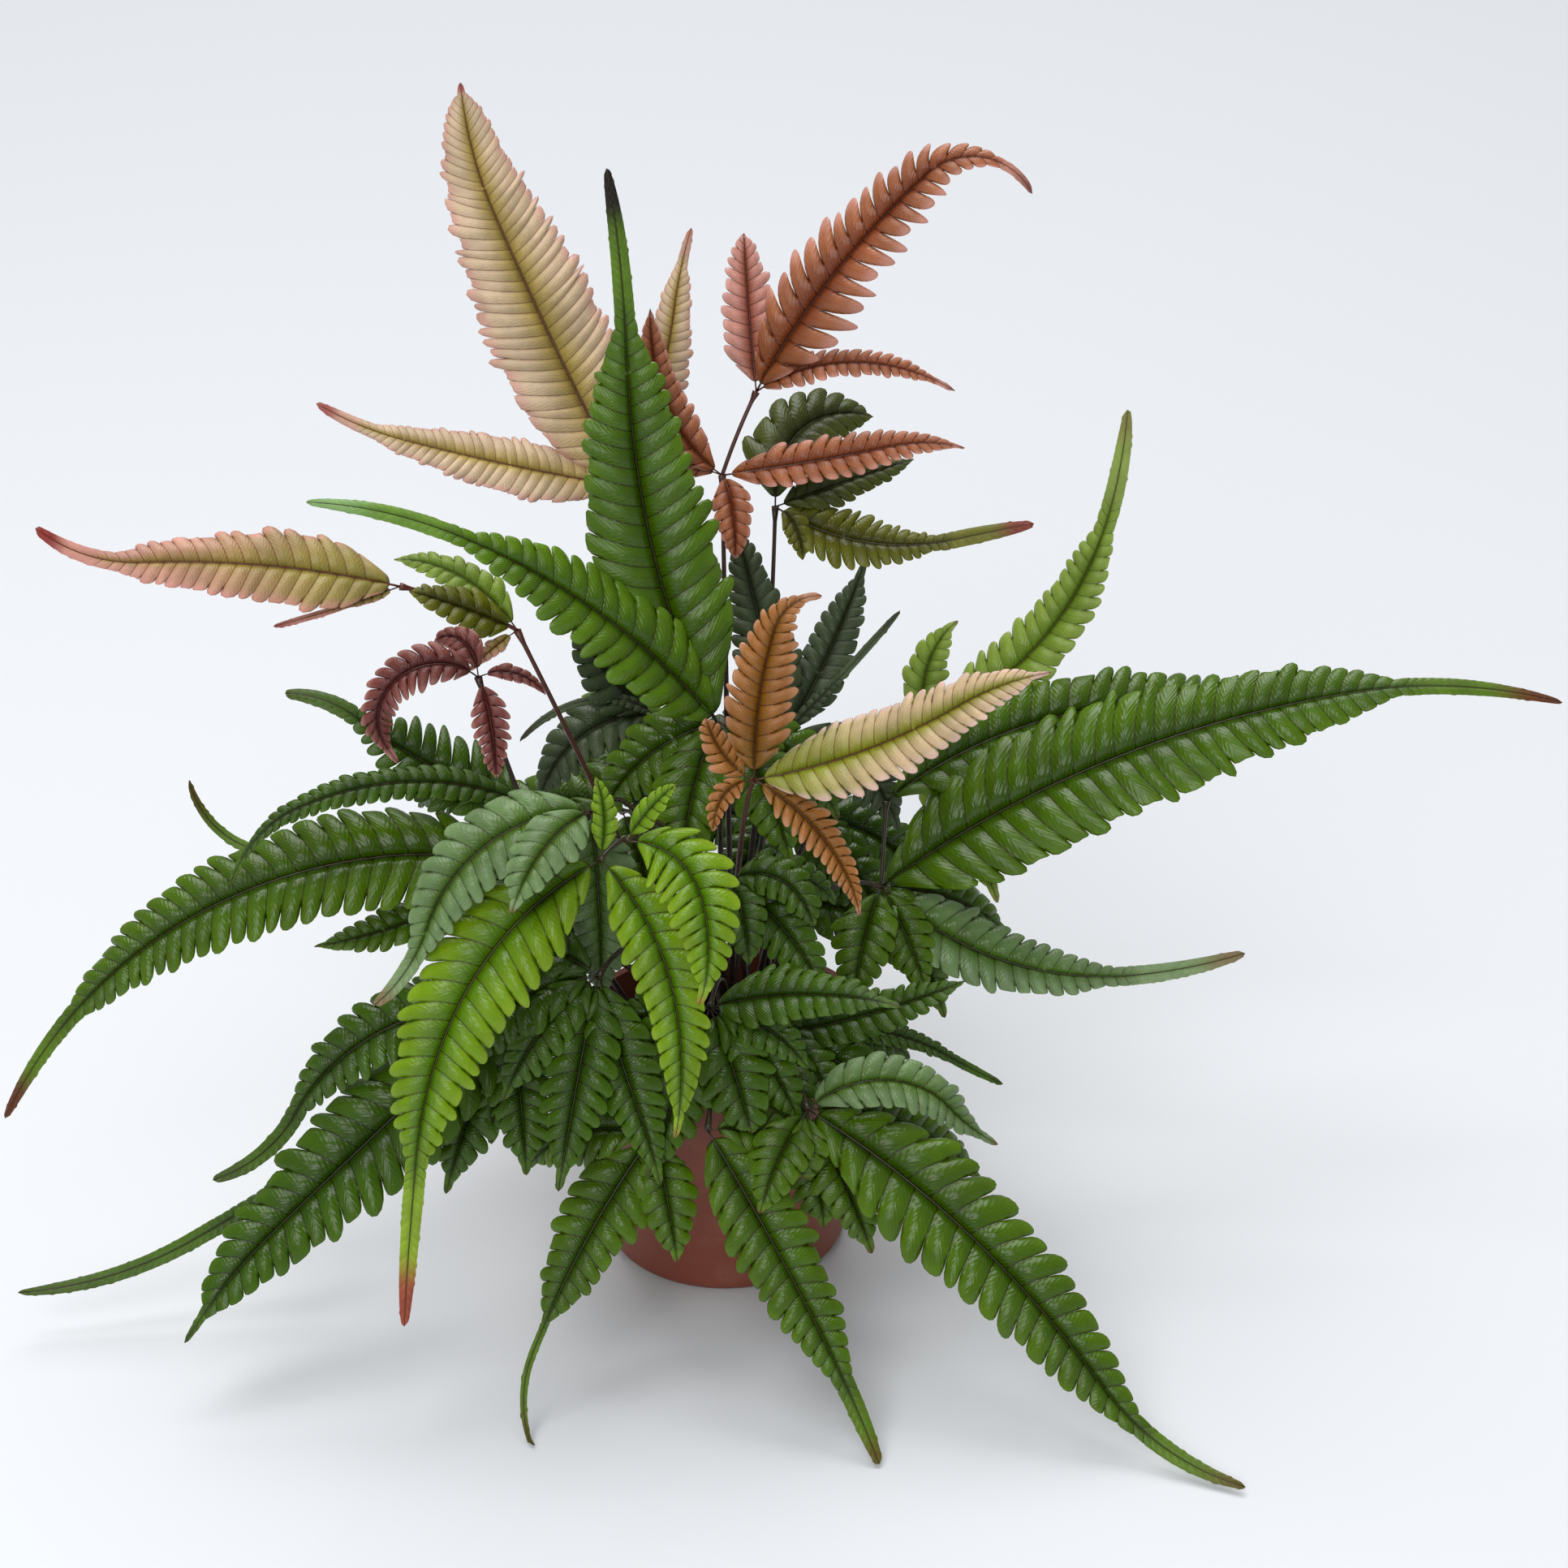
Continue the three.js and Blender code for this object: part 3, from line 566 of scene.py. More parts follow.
@dataclass(frozen=True)
class Leaflet(Arc):
    """A lobed leaflet on such a line.

    `tail` is the share of the length that has no long lobes, and `end` puts the leaflet on the
    far end of the frond's short midrib. `pitch` is the length of midrib that one lobe takes,
    `fused` the share of a lobe that is joined to its neighbours, and `blunt` how square its end
    is. `tip` is how strongly the tail takes its own colour, `strap` half of the tail's width,
    and `kind` overrides the frond's leaf.
    """

    tail: float = 0.1
    end: bool = False
    pitch: float | None = None
    fused: float = 0.7
    blunt: float = 4.2
    tip: float = 0.5
    strap: float | None = None
    kind: Leaf | None = None

    @property
    def strap_half(self) -> float:
        """Half the width of the smooth strap at the tip; a long tail has a wide one."""
        slim = 0.6 + 0.03 * self.width
        wide = min(3.9, 0.8 + 0.12 * self.width)
        return self.strap or slim + (wide - slim) * min(1.0, self.tail / 0.2)

    @property
    def lobe_pitch(self) -> float:
        """The pitch of the lobes; wide leaflets have longer ones."""
        return self.pitch or 3.2 + 0.17 * self.width


@dataclass(frozen=True)
class Frond:
    """A frond: a stalk from the crown to a fork, and the leaflets that spread there.

    `fork` is (heading, distance out, height up), from the crown's middle or, with `over_rim`,
    from the pot's rim. `root` is (heading, distance out) on the crown. The stalk bends towards a
    point `arch` above the fork, `bow` of the way out.
    """

    name: str
    kind: Leaf
    fork: tuple[float, float, float]
    root: tuple[float, float]
    arch: float
    leaflets: tuple[Leaflet, ...]
    bow: float = 0.3
    over_rim: bool = False
    midrib: Arc | None = None


FRONDS = (
    Frond(
        "tall_bronze", Leaf.BRONZE, fork=(113, 93, 185), root=(105, 14), arch=-90,
        leaflets=(
            Leaflet(
                150, 58, 157, 48, droop=-3, sweep=-11, hook=-13, swerve=-27,
                tail=0.03, pitch=5.5, fused=0.88, strap=3.2, tip=1.0,
            ),
            Leaflet(
                186, 12, 116, 26, droop=-7, sweep=-3, hook=-15,
                tail=0.16, pitch=5.0, fused=0.88, tip=1.0,
            ),
            Leaflet(
                26, 62, 97, 22, droop=-17, sweep=49, hook=14, swerve=-29,
                tail=0.12, pitch=5.0, fused=0.82,
            ),
        ),
    ),
    Frond(
        "tall_copper", Leaf.COPPER, fork=(90, 58, 200), root=(70, 8), arch=-110,
        midrib=Arc(38, 66, 32, droop=10),
        leaflets=(
            Leaflet(
                -6, 63, 142, 37, droop=27, sweep=3, hook=99,
                tail=0.12, end=True, pitch=9.0, fused=0.3, blunt=2.4,
            ),
            Leaflet(104, 66, 56, 22, sweep=-6, tail=0.03, end=True, pitch=6.0, fused=0.6, kind=Leaf.ROSE),
            Leaflet(-18, 38, 77, 15, droop=63, end=True, pitch=5.5, fused=0.4),
            Leaflet(-3, 9, 88, 21, droop=-10, sweep=-10, hook=31, swerve=7, tail=0.05, pitch=6.5, fused=0.5),
            Leaflet(169, 32, 67, 19, droop=-53, sweep=-72, tail=0.05),
            Leaflet(161, 15, 35, 12, droop=24, sweep=12, tail=0.05),
            Leaflet(-75, 0, 36, 15, droop=110, tail=0.05),
        ),
    ),
    Frond(
        "upper_olive", Leaf.OLIVE, fork=(76, 78, 181), root=(88, 15), arch=-110, bow=0.85,
        leaflets=(
            Leaflet(
                -12, -31, 98, 25, droop=-68, sweep=6, hook=22, swerve=-5,
                tail=0.35, pitch=5.8, fused=0.6, tip=0.9,
            ),
            Leaflet(-35, -10, 24, 12, droop=80, sweep=-27),
            Leaflet(90, 60, 66, 34, droop=80, sweep=-80, tail=0.05, kind=Leaf.SHADE),
            Leaflet(24, 10, 57, 18, tail=0.05, kind=Leaf.SHADE),
        ),
    ),
    Frond(
        "rear_grey", Leaf.GREY, fork=(58, 45, 108), root=(40, 9), arch=-20,
        leaflets=(
            Leaflet(58, 32, 76, 23, droop=-9, sweep=8),
            Leaflet(28, 38, 60, 7, droop=-4, tail=0.6),
            Leaflet(116, 53, 79, 26, sweep=-4, tail=0.05),
            Leaflet(-15, -5, 58, 26, droop=70),
            Leaflet(180, 10, 50, 26, droop=70),
        ),
    ),
    Frond(
        "rear_left_grey", Leaf.GREY, fork=(118, 54, 110), root=(135, 12), arch=-20,
        leaflets=(
            Leaflet(189, 39, 50, 26, droop=-34, sweep=9, tail=0.05),
            Leaflet(206, 46, 59, 7, droop=90, tail=0.6),
            Leaflet(205, 18, 60, 26, droop=95),
            Leaflet(270, -10, 60, 28, droop=60),
        ),
    ),
    Frond(
        "tall_green", Leaf.GREEN, fork=(95, 21, 120), root=(95, 3), arch=-20,
        leaflets=(
            Leaflet(
                172, 64, 200, 51, droop=-28, sweep=-96, hook=18, swerve=55,
                tail=0.26, pitch=9.5, fused=0.84, tip=1.0, kind=Leaf.SPIRE,
            ),
            Leaflet(
                199, 56, 175, 38, droop=39, sweep=-9, hook=9, swerve=3,
                tail=0.3, pitch=9.5, fused=0.66, tip=1.0, kind=Leaf.LUSH,
            ),
            Leaflet(250, -20, 60, 30, droop=60),
            Leaflet(310, -15, 60, 30, droop=60),
            Leaflet(-6, -10, 60, 28, droop=60),
            Leaflet(190, -10, 60, 28, droop=60),
        ),
    ),
    Frond(
        "centre_young", Leaf.BRONZE, fork=(-58, 22, 117), root=(-60, 4), arch=-20,
        leaflets=(
            Leaflet(
                86, 79, 75, 26, droop=15, sweep=-65, hook=70, swerve=-14,
                pitch=6.0, fused=0.45, kind=Leaf.EMBER,
            ),
            Leaflet(
                -7, 14, 111, 32, droop=-30, sweep=3, hook=31,
                tail=0.06, pitch=6.0, fused=0.6, kind=Leaf.BLUSH,
            ),
            Leaflet(
                -25, -17, 62, 16, droop=48, sweep=-19, swerve=-20,
                tail=0.06, pitch=5.0, fused=0.3, kind=Leaf.EMBER,
            ),
            Leaflet(167, 23, 28, 15, droop=-44, sweep=-37, tail=0.05, pitch=5.0, fused=0.3, kind=Leaf.EMBER),
            Leaflet(203, 10, 27, 10, droop=78, sweep=58, tail=0.05, pitch=4.5, fused=0.3, kind=Leaf.EMBER),
        ),
    ),
    Frond(
        "right_long", Leaf.GREEN, fork=(8, 58, 60), root=(10, 12), arch=15,
        midrib=Arc(83, 67, 31, droop=10),
        leaflets=(
            Leaflet(1, 40, 259, 54, droop=42, sweep=-1, hook=14, tail=0.22, pitch=10.0, fused=0.84, tip=0.9),
            Leaflet(-18, -41, 142, 30, droop=-79, sweep=5, hook=9, swerve=-5, tail=0.33, kind=Leaf.SILVER),
            Leaflet(305, -35, 42, 22, droop=25),
            Leaflet(13, 37, 187, 35, droop=72, sweep=-3, hook=-33, tail=0.05, end=True),
            Leaflet(250, -20, 45, 26, droop=50),
            Leaflet(330, -50, 55, 24, droop=20),
            Leaflet(20, -10, 60, 28, droop=40),
        ),
    ),
    Frond(
        "right_pale", Leaf.PALE, fork=(37, 92, 101), root=(45, 12), arch=5,
        leaflets=(
            Leaflet(3, 25, 149, 28, droop=-72, sweep=7, hook=9, swerve=19, tail=0.26),
            Leaflet(109, 85, 44, 18, droop=43, sweep=-105),
            Leaflet(295, -30, 75, 28, droop=10),
        ),
    ),
    Frond(
        "left_pink", Leaf.PINK, fork=(174, 71, 162), root=(165, 9), arch=-100,
        midrib=Arc(-171, 36, 44, droop=20),
        leaflets=(
            Leaflet(
                190, 18, 124, 31, droop=23, hook=-52, swerve=2,
                tail=0.2, end=True, pitch=7.0, fused=0.84, tip=1.0,
            ),
            Leaflet(198, -15, 45, 6, droop=-7, tail=0.5, end=True),
            Leaflet(159, 57, 52, 16, droop=62, sweep=10, tail=0.05, kind=Leaf.PALE),
            Leaflet(199, 33, 42, 19, droop=9, tail=0.05, kind=Leaf.OLIVE),
            Leaflet(223, -15, 24, 7, droop=11, sweep=5),
        ),
    ),
    Frond(
        "left_maroon", Leaf.MAROON, fork=(197, 85, 159), root=(200, 21), arch=-110, bow=0.6,
        leaflets=(
            Leaflet(192, 47, 64, 19, droop=183, hook=8, swerve=-49, pitch=5.2, fused=0.35),
            Leaflet(-62, -35, 36, 14, droop=45, sweep=-20, tail=0.05, pitch=4.6, fused=0.35),
            Leaflet(-2, 29, 26, 7, droop=88, tail=0.05),
            Leaflet(116, 92, 26, 13, droop=132, sweep=53, tail=0.05),
        ),
    ),
    Frond(
        "left_dark", Leaf.DEEP, fork=(184, 71, 101), root=(178, 16), arch=10,
        leaflets=(
            Leaflet(173, 16, 92, 36, droop=-33, hook=52, tail=0.3, pitch=8.0, fused=0.25, blunt=2.6),
            Leaflet(202, 35, 120, 15, droop=72, sweep=4, hook=29, swerve=15),
            Leaflet(140, 10, 60, 28, droop=60),
        ),
    ),
    Frond(
        "left_long", Leaf.GREEN, fork=(194, 73, 84), root=(195, 17), arch=15,
        leaflets=(
            Leaflet(
                191, 18, 219, 43, droop=83, sweep=4, hook=-4, swerve=7,
                tail=0.2, pitch=9.0, fused=0.68, tip=1.0,
            ),
            Leaflet(170, -8, 134, 12, droop=-15, hook=-74, swerve=-14, tail=0.35),
            Leaflet(202, -29, 78, 22, droop=-30, sweep=-2, tail=0.05),
            Leaflet(215, -75, 100, 22, droop=-25, tail=0.05),
        ),
    ),
    Frond(
        "left_silver", Leaf.SILVER, fork=(226, 62, 118), root=(215, 15), arch=15,
        leaflets=(
            Leaflet(196, 12, 105, 31, droop=111, sweep=30, hook=-68, swerve=-18, tail=0.2),
            Leaflet(234, 10, 50, 24, droop=70),
            Leaflet(85, -70, 85, 28, droop=30),
        ),
    ),
    Frond(
        "front_bright", Leaf.BRIGHT, fork=(234, 68, 105), root=(235, 13), arch=20,
        leaflets=(
            Leaflet(
                199, -21, 180, 43, droop=75, sweep=72, hook=-39, swerve=-3,
                tail=0.3, pitch=9.0, fused=0.62, tip=1.0,
            ),
            Leaflet(45, 71, 29, 10, droop=7, sweep=100, tail=0.05),
            Leaflet(-20, -40, 101, 27, droop=33, sweep=-90, hook=-17, tail=0.08),
        ),
    ),
    Frond(
        "front_curled", Leaf.BRIGHT, fork=(244, 69, 116), root=(245, 9), arch=15,
        leaflets=(
            Leaflet(-15, 10, 72, 30, droop=109, sweep=-99, hook=-55, swerve=-7, pitch=7.0, fused=0.35),
            Leaflet(-22, 63, 30, 11, droop=19, sweep=5, tail=0.02),
        ),
    ),
    Frond(
        "front_inner", Leaf.DEEP, fork=(266, -3, 37), root=(285, 13), arch=15, over_rim=True,
        leaflets=(
            Leaflet(-62, -35, 46, 30, droop=25, tail=0.05),
            Leaflet(205, 5, 34, 20, droop=75),
            Leaflet(-20, 5, 42, 20, droop=60),
            Leaflet(238, -45, 62, 30, droop=10),
            Leaflet(335, 30, 75, 24, droop=30),
            Leaflet(330, -20, 52, 26, droop=50),
            Leaflet(180, 10, 45, 22, droop=70),
        ),
    ),
    Frond(
        "centre_small", Leaf.DEEP, fork=(-80, 18, 76), root=(320, 12), arch=-5,
        leaflets=(
            Leaflet(-15, 44, 42, 19, droop=116, sweep=-33, tail=0.05),
            Leaflet(-75, 10, 36, 20, droop=90),
            Leaflet(245, 10, 45, 22, droop=100),
            Leaflet(14, 20, 45, 20, droop=80),
            Leaflet(-40, -10, 55, 24, droop=50),
        ),
    ),
    Frond(
        "right_inner", Leaf.DEEP, fork=(-56, -19, 13), root=(330, 18), arch=25, over_rim=True,
        leaflets=(
            Leaflet(-5, 13, 71, 20, droop=-16, tail=0.05),
            Leaflet(5, 12, 89, 12, droop=66, hook=-23, tail=0.2),
            Leaflet(-50, 0, 38, 20, droop=60),
            Leaflet(14, 10, 55, 28, droop=60),
            Leaflet(-25, -5, 55, 28, droop=40),
            Leaflet(-80, -10, 42, 24, droop=50),
        ),
    ),
    Frond(
        "low_left", Leaf.DEEP, fork=(207, 28, 29), root=(222, 20), arch=40, over_rim=True,
        leaflets=(
            Leaflet(211, -32, 161, 48, sweep=4, hook=14, swerve=7, tail=0.08, pitch=11.0, fused=0.68),
            Leaflet(192, 15, 130, 31, droop=106, sweep=9, hook=-78, swerve=-8, tail=0.3),
            Leaflet(191, -43, 211, 22, droop=-22, hook=-24, tail=0.4),
            Leaflet(255, -35, 50, 24, droop=45),
            Leaflet(280, -40, 60, 28, droop=30),
            Leaflet(235, -45, 70, 30, droop=20),
        ),
    ),
    Frond(
        "front_left", Leaf.DEEP, fork=(231, 12, 50), root=(240, 19), arch=25, over_rim=True,
        leaflets=(
            Leaflet(-68, -50, 75, 27, droop=5, sweep=20, hook=8, swerve=-15),
            Leaflet(160, 35, 60, 26, droop=90),
            Leaflet(215, -20, 55, 24, droop=45),
            Leaflet(255, -45, 75, 28, droop=10),
            Leaflet(190, 0, 65, 30, droop=70),
        ),
    ),
    Frond(
        "low_front_left", Leaf.GREEN, fork=(252, 21, -2), root=(255, 18), arch=50, over_rim=True,
        leaflets=(
            Leaflet(220, -40, 121, 32, droop=19, sweep=16, hook=-3, swerve=79, tail=0.4, strap=1.5),
            Leaflet(165, 10, 55, 28, droop=70),
            Leaflet(290, -40, 45, 24, droop=30),
        ),
    ),
    Frond(
        "low_front_right", Leaf.GREEN, fork=(267, 25, 5), root=(275, 19), arch=30, over_rim=True,
        leaflets=(
            Leaflet(-42, -45, 127, 32, droop=4, sweep=-9, hook=3, swerve=-3, tail=0.22),
            Leaflet(16, 0, 45, 22, droop=60),
        ),
    ),
    Frond(
        "low_right", Leaf.GREEN, fork=(294, 20, 6), root=(300, 19), arch=30, over_rim=True,
        leaflets=(
            Leaflet(
                -27, -20, 197, 43, droop=33, sweep=-13, hook=-53, swerve=16,
                tail=0.2, pitch=11.0, fused=0.62,
            ),
            Leaflet(4, 49, 81, 22, droop=146, sweep=2, hook=-64, kind=Leaf.SILVER),
            Leaflet(262, -15, 25, 22, droop=65, tail=0.05),
            Leaflet(288, -55, 42, 26, droop=20),
            Leaflet(315, -45, 55, 26, droop=20),
            Leaflet(240, -10, 42, 24, droop=50),
            Leaflet(20, -10, 85, 24, droop=50),
        ),
    ),
    Frond(
        "back_left", Leaf.GREEN, fork=(125, 68, 66), root=(140, 18), arch=20,
        leaflets=(
            Leaflet(95, 30, 140, 40, droop=75, tail=0.2),
            Leaflet(125, 10, 90, 30, droop=70, tail=0.15),
            Leaflet(205, 10, 55, 26, droop=80),
            Leaflet(290, -10, 55, 28, droop=60),
            Leaflet(170, 15, 70, 30, droop=60),
        ),
    ),
    Frond(
        "back_right", Leaf.DEEP, fork=(72, 68, 58), root=(30, 18), arch=20,
        leaflets=(
            Leaflet(85, 25, 120, 36, droop=80, tail=0.2),
            Leaflet(55, 0, 70, 26, droop=60, tail=0.15),
            Leaflet(-5, 10, 75, 30, droop=80),
            Leaflet(168, 10, 60, 28, droop=70),
            Leaflet(232, -10, 50, 26, droop=60),
            Leaflet(330, -10, 70, 30, droop=60),
        ),
    ),
    Frond(
        "low_back_left", Leaf.DEEP, fork=(110, 22, 5), root=(110, 20), arch=45, over_rim=True,
        leaflets=(
            Leaflet(105, -10, 110, 38, droop=60, tail=0.2),
            Leaflet(190, 10, 65, 30, droop=70),
        ),
    ),
    Frond(
        "low_back_right", Leaf.GREEN, fork=(75, 22, 8), root=(52, 21), arch=45, over_rim=True,
        leaflets=(
            Leaflet(80, -15, 105, 36, droop=50, tail=0.2),
            Leaflet(-8, 10, 70, 32, droop=70),
            Leaflet(178, 25, 42, 28, droop=60),
        ),
    ),
)


# ---------------------------------------------------------------- stalks and leaves

# Steps along a leaflet's line, and the share of its length where hook and swerve set in.
LINE_STEPS = 192
TAIL_FROM = 0.7
# Millimetres: the bare foot of a midrib, and the least heights of a midrib and of a blade's points.
BARE_BASE = 3.5
TIP_ABOVE_FLOOR = 1.6
LEAST_HEIGHT = 0.5


@dataclass(frozen=True)
class Spine:
    """A line in space, in millimetres, with a direction, a side and a face at each point."""

    length: float
    place: np.ndarray
    along: np.ndarray
    side: np.ndarray
    face: np.ndarray

    def at(self, distance: np.ndarray) -> tuple[np.ndarray, np.ndarray, np.ndarray]:
        """Find places, sides and faces along the line; past its end it goes straight on.

        Args:
            distance: Distances from the line's start, of any shape.

        Returns:
            Places, sides and faces, each of that shape with three numbers more.
        """
        steps = np.linspace(0.0, self.length, len(self.place))

        def read(vectors: np.ndarray) -> np.ndarray:
            """Read vectors off at the distances."""
            return np.stack([np.interp(distance, steps, column) for column in vectors.T], axis=-1)

        past = np.maximum(distance - self.length, 0.0)[..., None]
        return read(self.place) + past * self.along[-1], read(self.side), read(self.face)


def unit(vectors: np.ndarray) -> np.ndarray:
    """Scale each vector to length 1."""
    return vectors / np.linalg.norm(vectors, axis=-1, keepdims=True)


def half_width(leaf: Leaflet, share: np.ndarray) -> np.ndarray:
    """Half of a leaflet's width at shares of its length.

    Lobes lengthen quickly from a bare base as 1 - exp(-u/0.07) and shorten towards the tail as
    (1 - u^2.2)^0.75; a narrow strap is left where they end.
    """
    bare = BARE_BASE / leaf.length
    u = np.clip((share - bare) / (1.0 - leaf.tail - bare), 0.0, 1.0)
    lobed = leaf.width / 2 * (1 - np.exp(-u / 0.07)) * (1 - u**2.2) ** 0.75
    plain = leaf.strap_half * np.sqrt(1 - np.clip(share, 0.0, 1.0) ** 6)
    return np.maximum(lobed, plain)


def bend(start: np.ndarray, arc: Arc) -> Spine:
    """Follow an arc from a point: short steps end to end, whose rise and heading change evenly.

    The face is the light's direction made square to the line.

    Args:
        start: The arc's first point, in millimetres.
        arc: The arc.

    Returns:
        The line.
    """
    t = (np.arange(LINE_STEPS) + 0.5) / LINE_STEPS
    late = np.clip((t - TAIL_FROM) / (1 - TAIL_FROM), 0.0, 1.0)
    up = np.radians(arc.rise - arc.droop * t - arc.hook * late)
    turn = np.radians(arc.heading + arc.sweep * t + arc.swerve * late)
    steps = np.stack([np.cos(up) * np.cos(turn), np.cos(up) * np.sin(turn), np.sin(up)], axis=-1)
    place = start + np.concatenate([np.zeros((1, 3)), np.cumsum(steps, axis=0)]) * arc.length / LINE_STEPS
    along = unit(np.gradient(place, axis=0))
    face = unit(LIGHT - (along @ LIGHT)[:, None] * along)
    return Spine(arc.length, place, along, np.cross(along, face), face)


def leaflet_spine(start: np.ndarray, leaf: Leaflet) -> Spine:
    """A leaflet's midrib: its arc, raised where the blade would dip under the surface it stands on."""
    free = bend(start, leaf)
    half = half_width(leaf, np.linspace(0.0, 1.0, LINE_STEPS + 1))
    place = free.place.copy()
    place[:, 2] = np.maximum(place[:, 2], TIP_ABOVE_FLOOR + half * np.abs(free.side[:, 2]))
    return Spine(free.length, place, free.along, free.side, free.face)


def tube(spine: Spine, radius: np.ndarray, sides: int, age: tuple[float, float], colour: str) -> Patch:
    """Carry a circle along a line, closed to a point at both ends.

    Args:
        spine: The line.
        radius: Radii at even steps along it, in millimetres.
        sides: How many sides the circle has.
        age: The `stalk_age` value at its two ends.
        colour: The colour code of its upper part.

    Returns:
        The tube's patch.
    """
    rings = len(radius)
    place, side, face = spine.at(np.linspace(0.0, spine.length, rings))
    turn = np.linspace(0.0, 2 * np.pi, sides, endpoint=False)[None, :, None]
    ring = np.cos(turn) * side[:, None] + np.sin(turn) * face[:, None]
    points = np.concatenate([(place[:, None] + radius[:, None, None] * ring).reshape(-1, 3), place[[0, -1]]])
    here = np.arange(sides)
    after = (here + 1) % sides
    row = (np.arange(rings - 1) * sides)[:, None]
    near, far = row + here, row + after
    walls = np.stack([near, near + sides, far + sides, far], axis=-1).reshape(-1, 4)
    last = (rings - 1) * sides
    foot = np.stack([np.full(sides, rings * sides), here, after], axis=-1)
    head = np.stack([np.full(sides, rings * sides + 1), last + after, last + here], axis=-1)
    ages = np.concatenate([np.repeat(np.linspace(*age, rings), sides), age])
    values = {
        Socket.AGE: np.stack([ages, 0 * ages, 0 * ages], axis=-1),
        Socket.VEIN: np.tile(tint(colour), (len(points), 1)),
    }
    return Patch(points * MM, walls.tolist() + foot.tolist() + head.tolist(), 0, values)


class BladeMaker:
    """Cuts one leaflet's blade: two rows of lobes, one on each side of its midrib.

    A lobe is a grid over u, from midrib to lobe end, and v, from -1 to 1 across the lobe. Up to
    the fused share it fills its stretch of midrib, so neighbours meet; past it, its width falls
    as sqrt(1 - q^blunt). Its surface rises as a pillow, (1 - v^2), between the sunken lines.

    `across` and `round` are the grid's steps. `tail_pitch` is the longest lobe of the tail, in
    millimetres. `puff` is how far a lobe bulges for its width, `lean` how far it slants towards
    the tip, `arch` and `curl` how far a blade rises beside its midrib and falls again towards
    its rim, and `wave` how far it ripples.
    """

    across = 8
    round = 6
    tail_pitch = 3.0
    puff = 0.26
    lean = 0.42
    arch = 0.42
    curl = 0.50
    wave = 0.07

    def __init__(self, leaf: Leaflet, spine: Spine, material: int, chance: np.random.Generator) -> None:
        """Take the leaflet's sizes, its midrib, its material number and a seeded source of chance."""
        self.leaf = leaf
        self.spine = spine
        self.material = material
        self.chance = chance
        self.phase = chance.uniform(0.0, 2 * np.pi)

    def each(self, spread: float, count: int) -> np.ndarray:
        """A number drawn for each of `count` lobes, from -spread to spread."""
        return self.chance.uniform(-spread, spread, (count, 1, 1))

    def marks(self, hand: int) -> np.ndarray:
        """Where the lobes of one side begin and end along the midrib, in millimetres.

        The pitch falls evenly to 0.55 of its first value, and is shorter still in the tail.

        Args:
            hand: 1 or -1, the side of the midrib.

        Returns:
            The marks, from the bare base to the tip.
        """
        leaf = self.leaf
        s = np.linspace(min(BARE_BASE, 0.3 * leaf.length), leaf.length, 400)
        t = s / leaf.length
        pitch = leaf.lobe_pitch * (1 - 0.45 * np.clip(t / (1 - leaf.tail), 0, 1))
        pitch = np.where(t > 1 - leaf.tail, np.minimum(pitch, self.tail_pitch), pitch)
        count = np.concatenate([[0.0], np.cumsum(1 / pitch[1:]) * (s[1] - s[0])])
        lobes = max(3, round(count[-1]))
        share = np.arange(lobes + 1, dtype=float)
        share[1:-1] += (0.22 if hand > 0 else -0.22) + self.chance.uniform(-0.07, 0.07, lobes - 1)
        return np.interp(share / lobes * count[-1], count, s)

    def side(self, hand: int) -> Patch:
        """Make the lobes of one side of the midrib.

        Args:
            hand: 1 or -1, the side of the midrib.

        Returns:
            The lobes' patch.
        """
        leaf = self.leaf
        marks = self.marks(hand)
        count = len(marks) - 1
        low, high = marks[:-1, None, None], marks[1:, None, None]
        middle, reach = (low + high) / 2, (high - low) / 2
        t = middle / leaf.length
        u = np.sin(np.linspace(0.0, np.pi / 2, self.across + 1))[None, :, None]
        v = np.linspace(-1.0, 1.0, self.round + 1)[None, None, :]

        in_tail = smooth(t, 0.8 * (1 - leaf.tail), 1 - 0.75 * leaf.tail)
        ragged = 1 - 0.9 * in_tail
        fused = leaf.fused + (0.98 - leaf.fused) * in_tail + self.each(0.05, count) * ragged
        fused = np.clip(fused, 0.04, 0.985)
        q = np.clip((u - fused) / (1 - fused), 0.0, 1.0)
        width = np.sqrt(np.clip(1 - q**leaf.blunt, 0.0, 1.0)) * (1 - 0.04 * smooth(q, 0.0, 0.5))
        w = v * width
        half = self.between(half_width(leaf, marks / leaf.length), w)
        half = half * (1 + self.each(0.12, count) * ragged * (1 - w**2))
        lean = self.lean + 1.1 * (marks / leaf.length) ** 5
        lean = self.between(lean + self.chance.uniform(-0.09, 0.09, count + 1), w)

        b = u * half
        a = middle + reach * w + lean * b * (0.55 + 0.45 * u)
        pillow = self.puff * ragged * 2 * reach * (1 - w**2)
        pillow = pillow * (1 - np.exp(-u / 0.15)) * (1 - 0.5 * u**2)
        bow = half * (self.arch * u - self.curl * u**2)
        ripple = self.wave * half * u * np.sin(0.11 * (middle + reach * w) + self.phase + hand)
        twist = self.each(0.22, count) * v * width * q * reach + self.each(0.05, count) * q * half
        z = pillow + bow + ripple + twist

        place, out, face = self.spine.at(a)
        points = place + (hand * b)[..., None] * out + z[..., None] * face
        points[..., 2] = np.maximum(points[..., 2], LEAST_HEIGHT)
        full = np.zeros_like(a)
        along = np.clip(a / leaf.length, 0.0, 1.0)
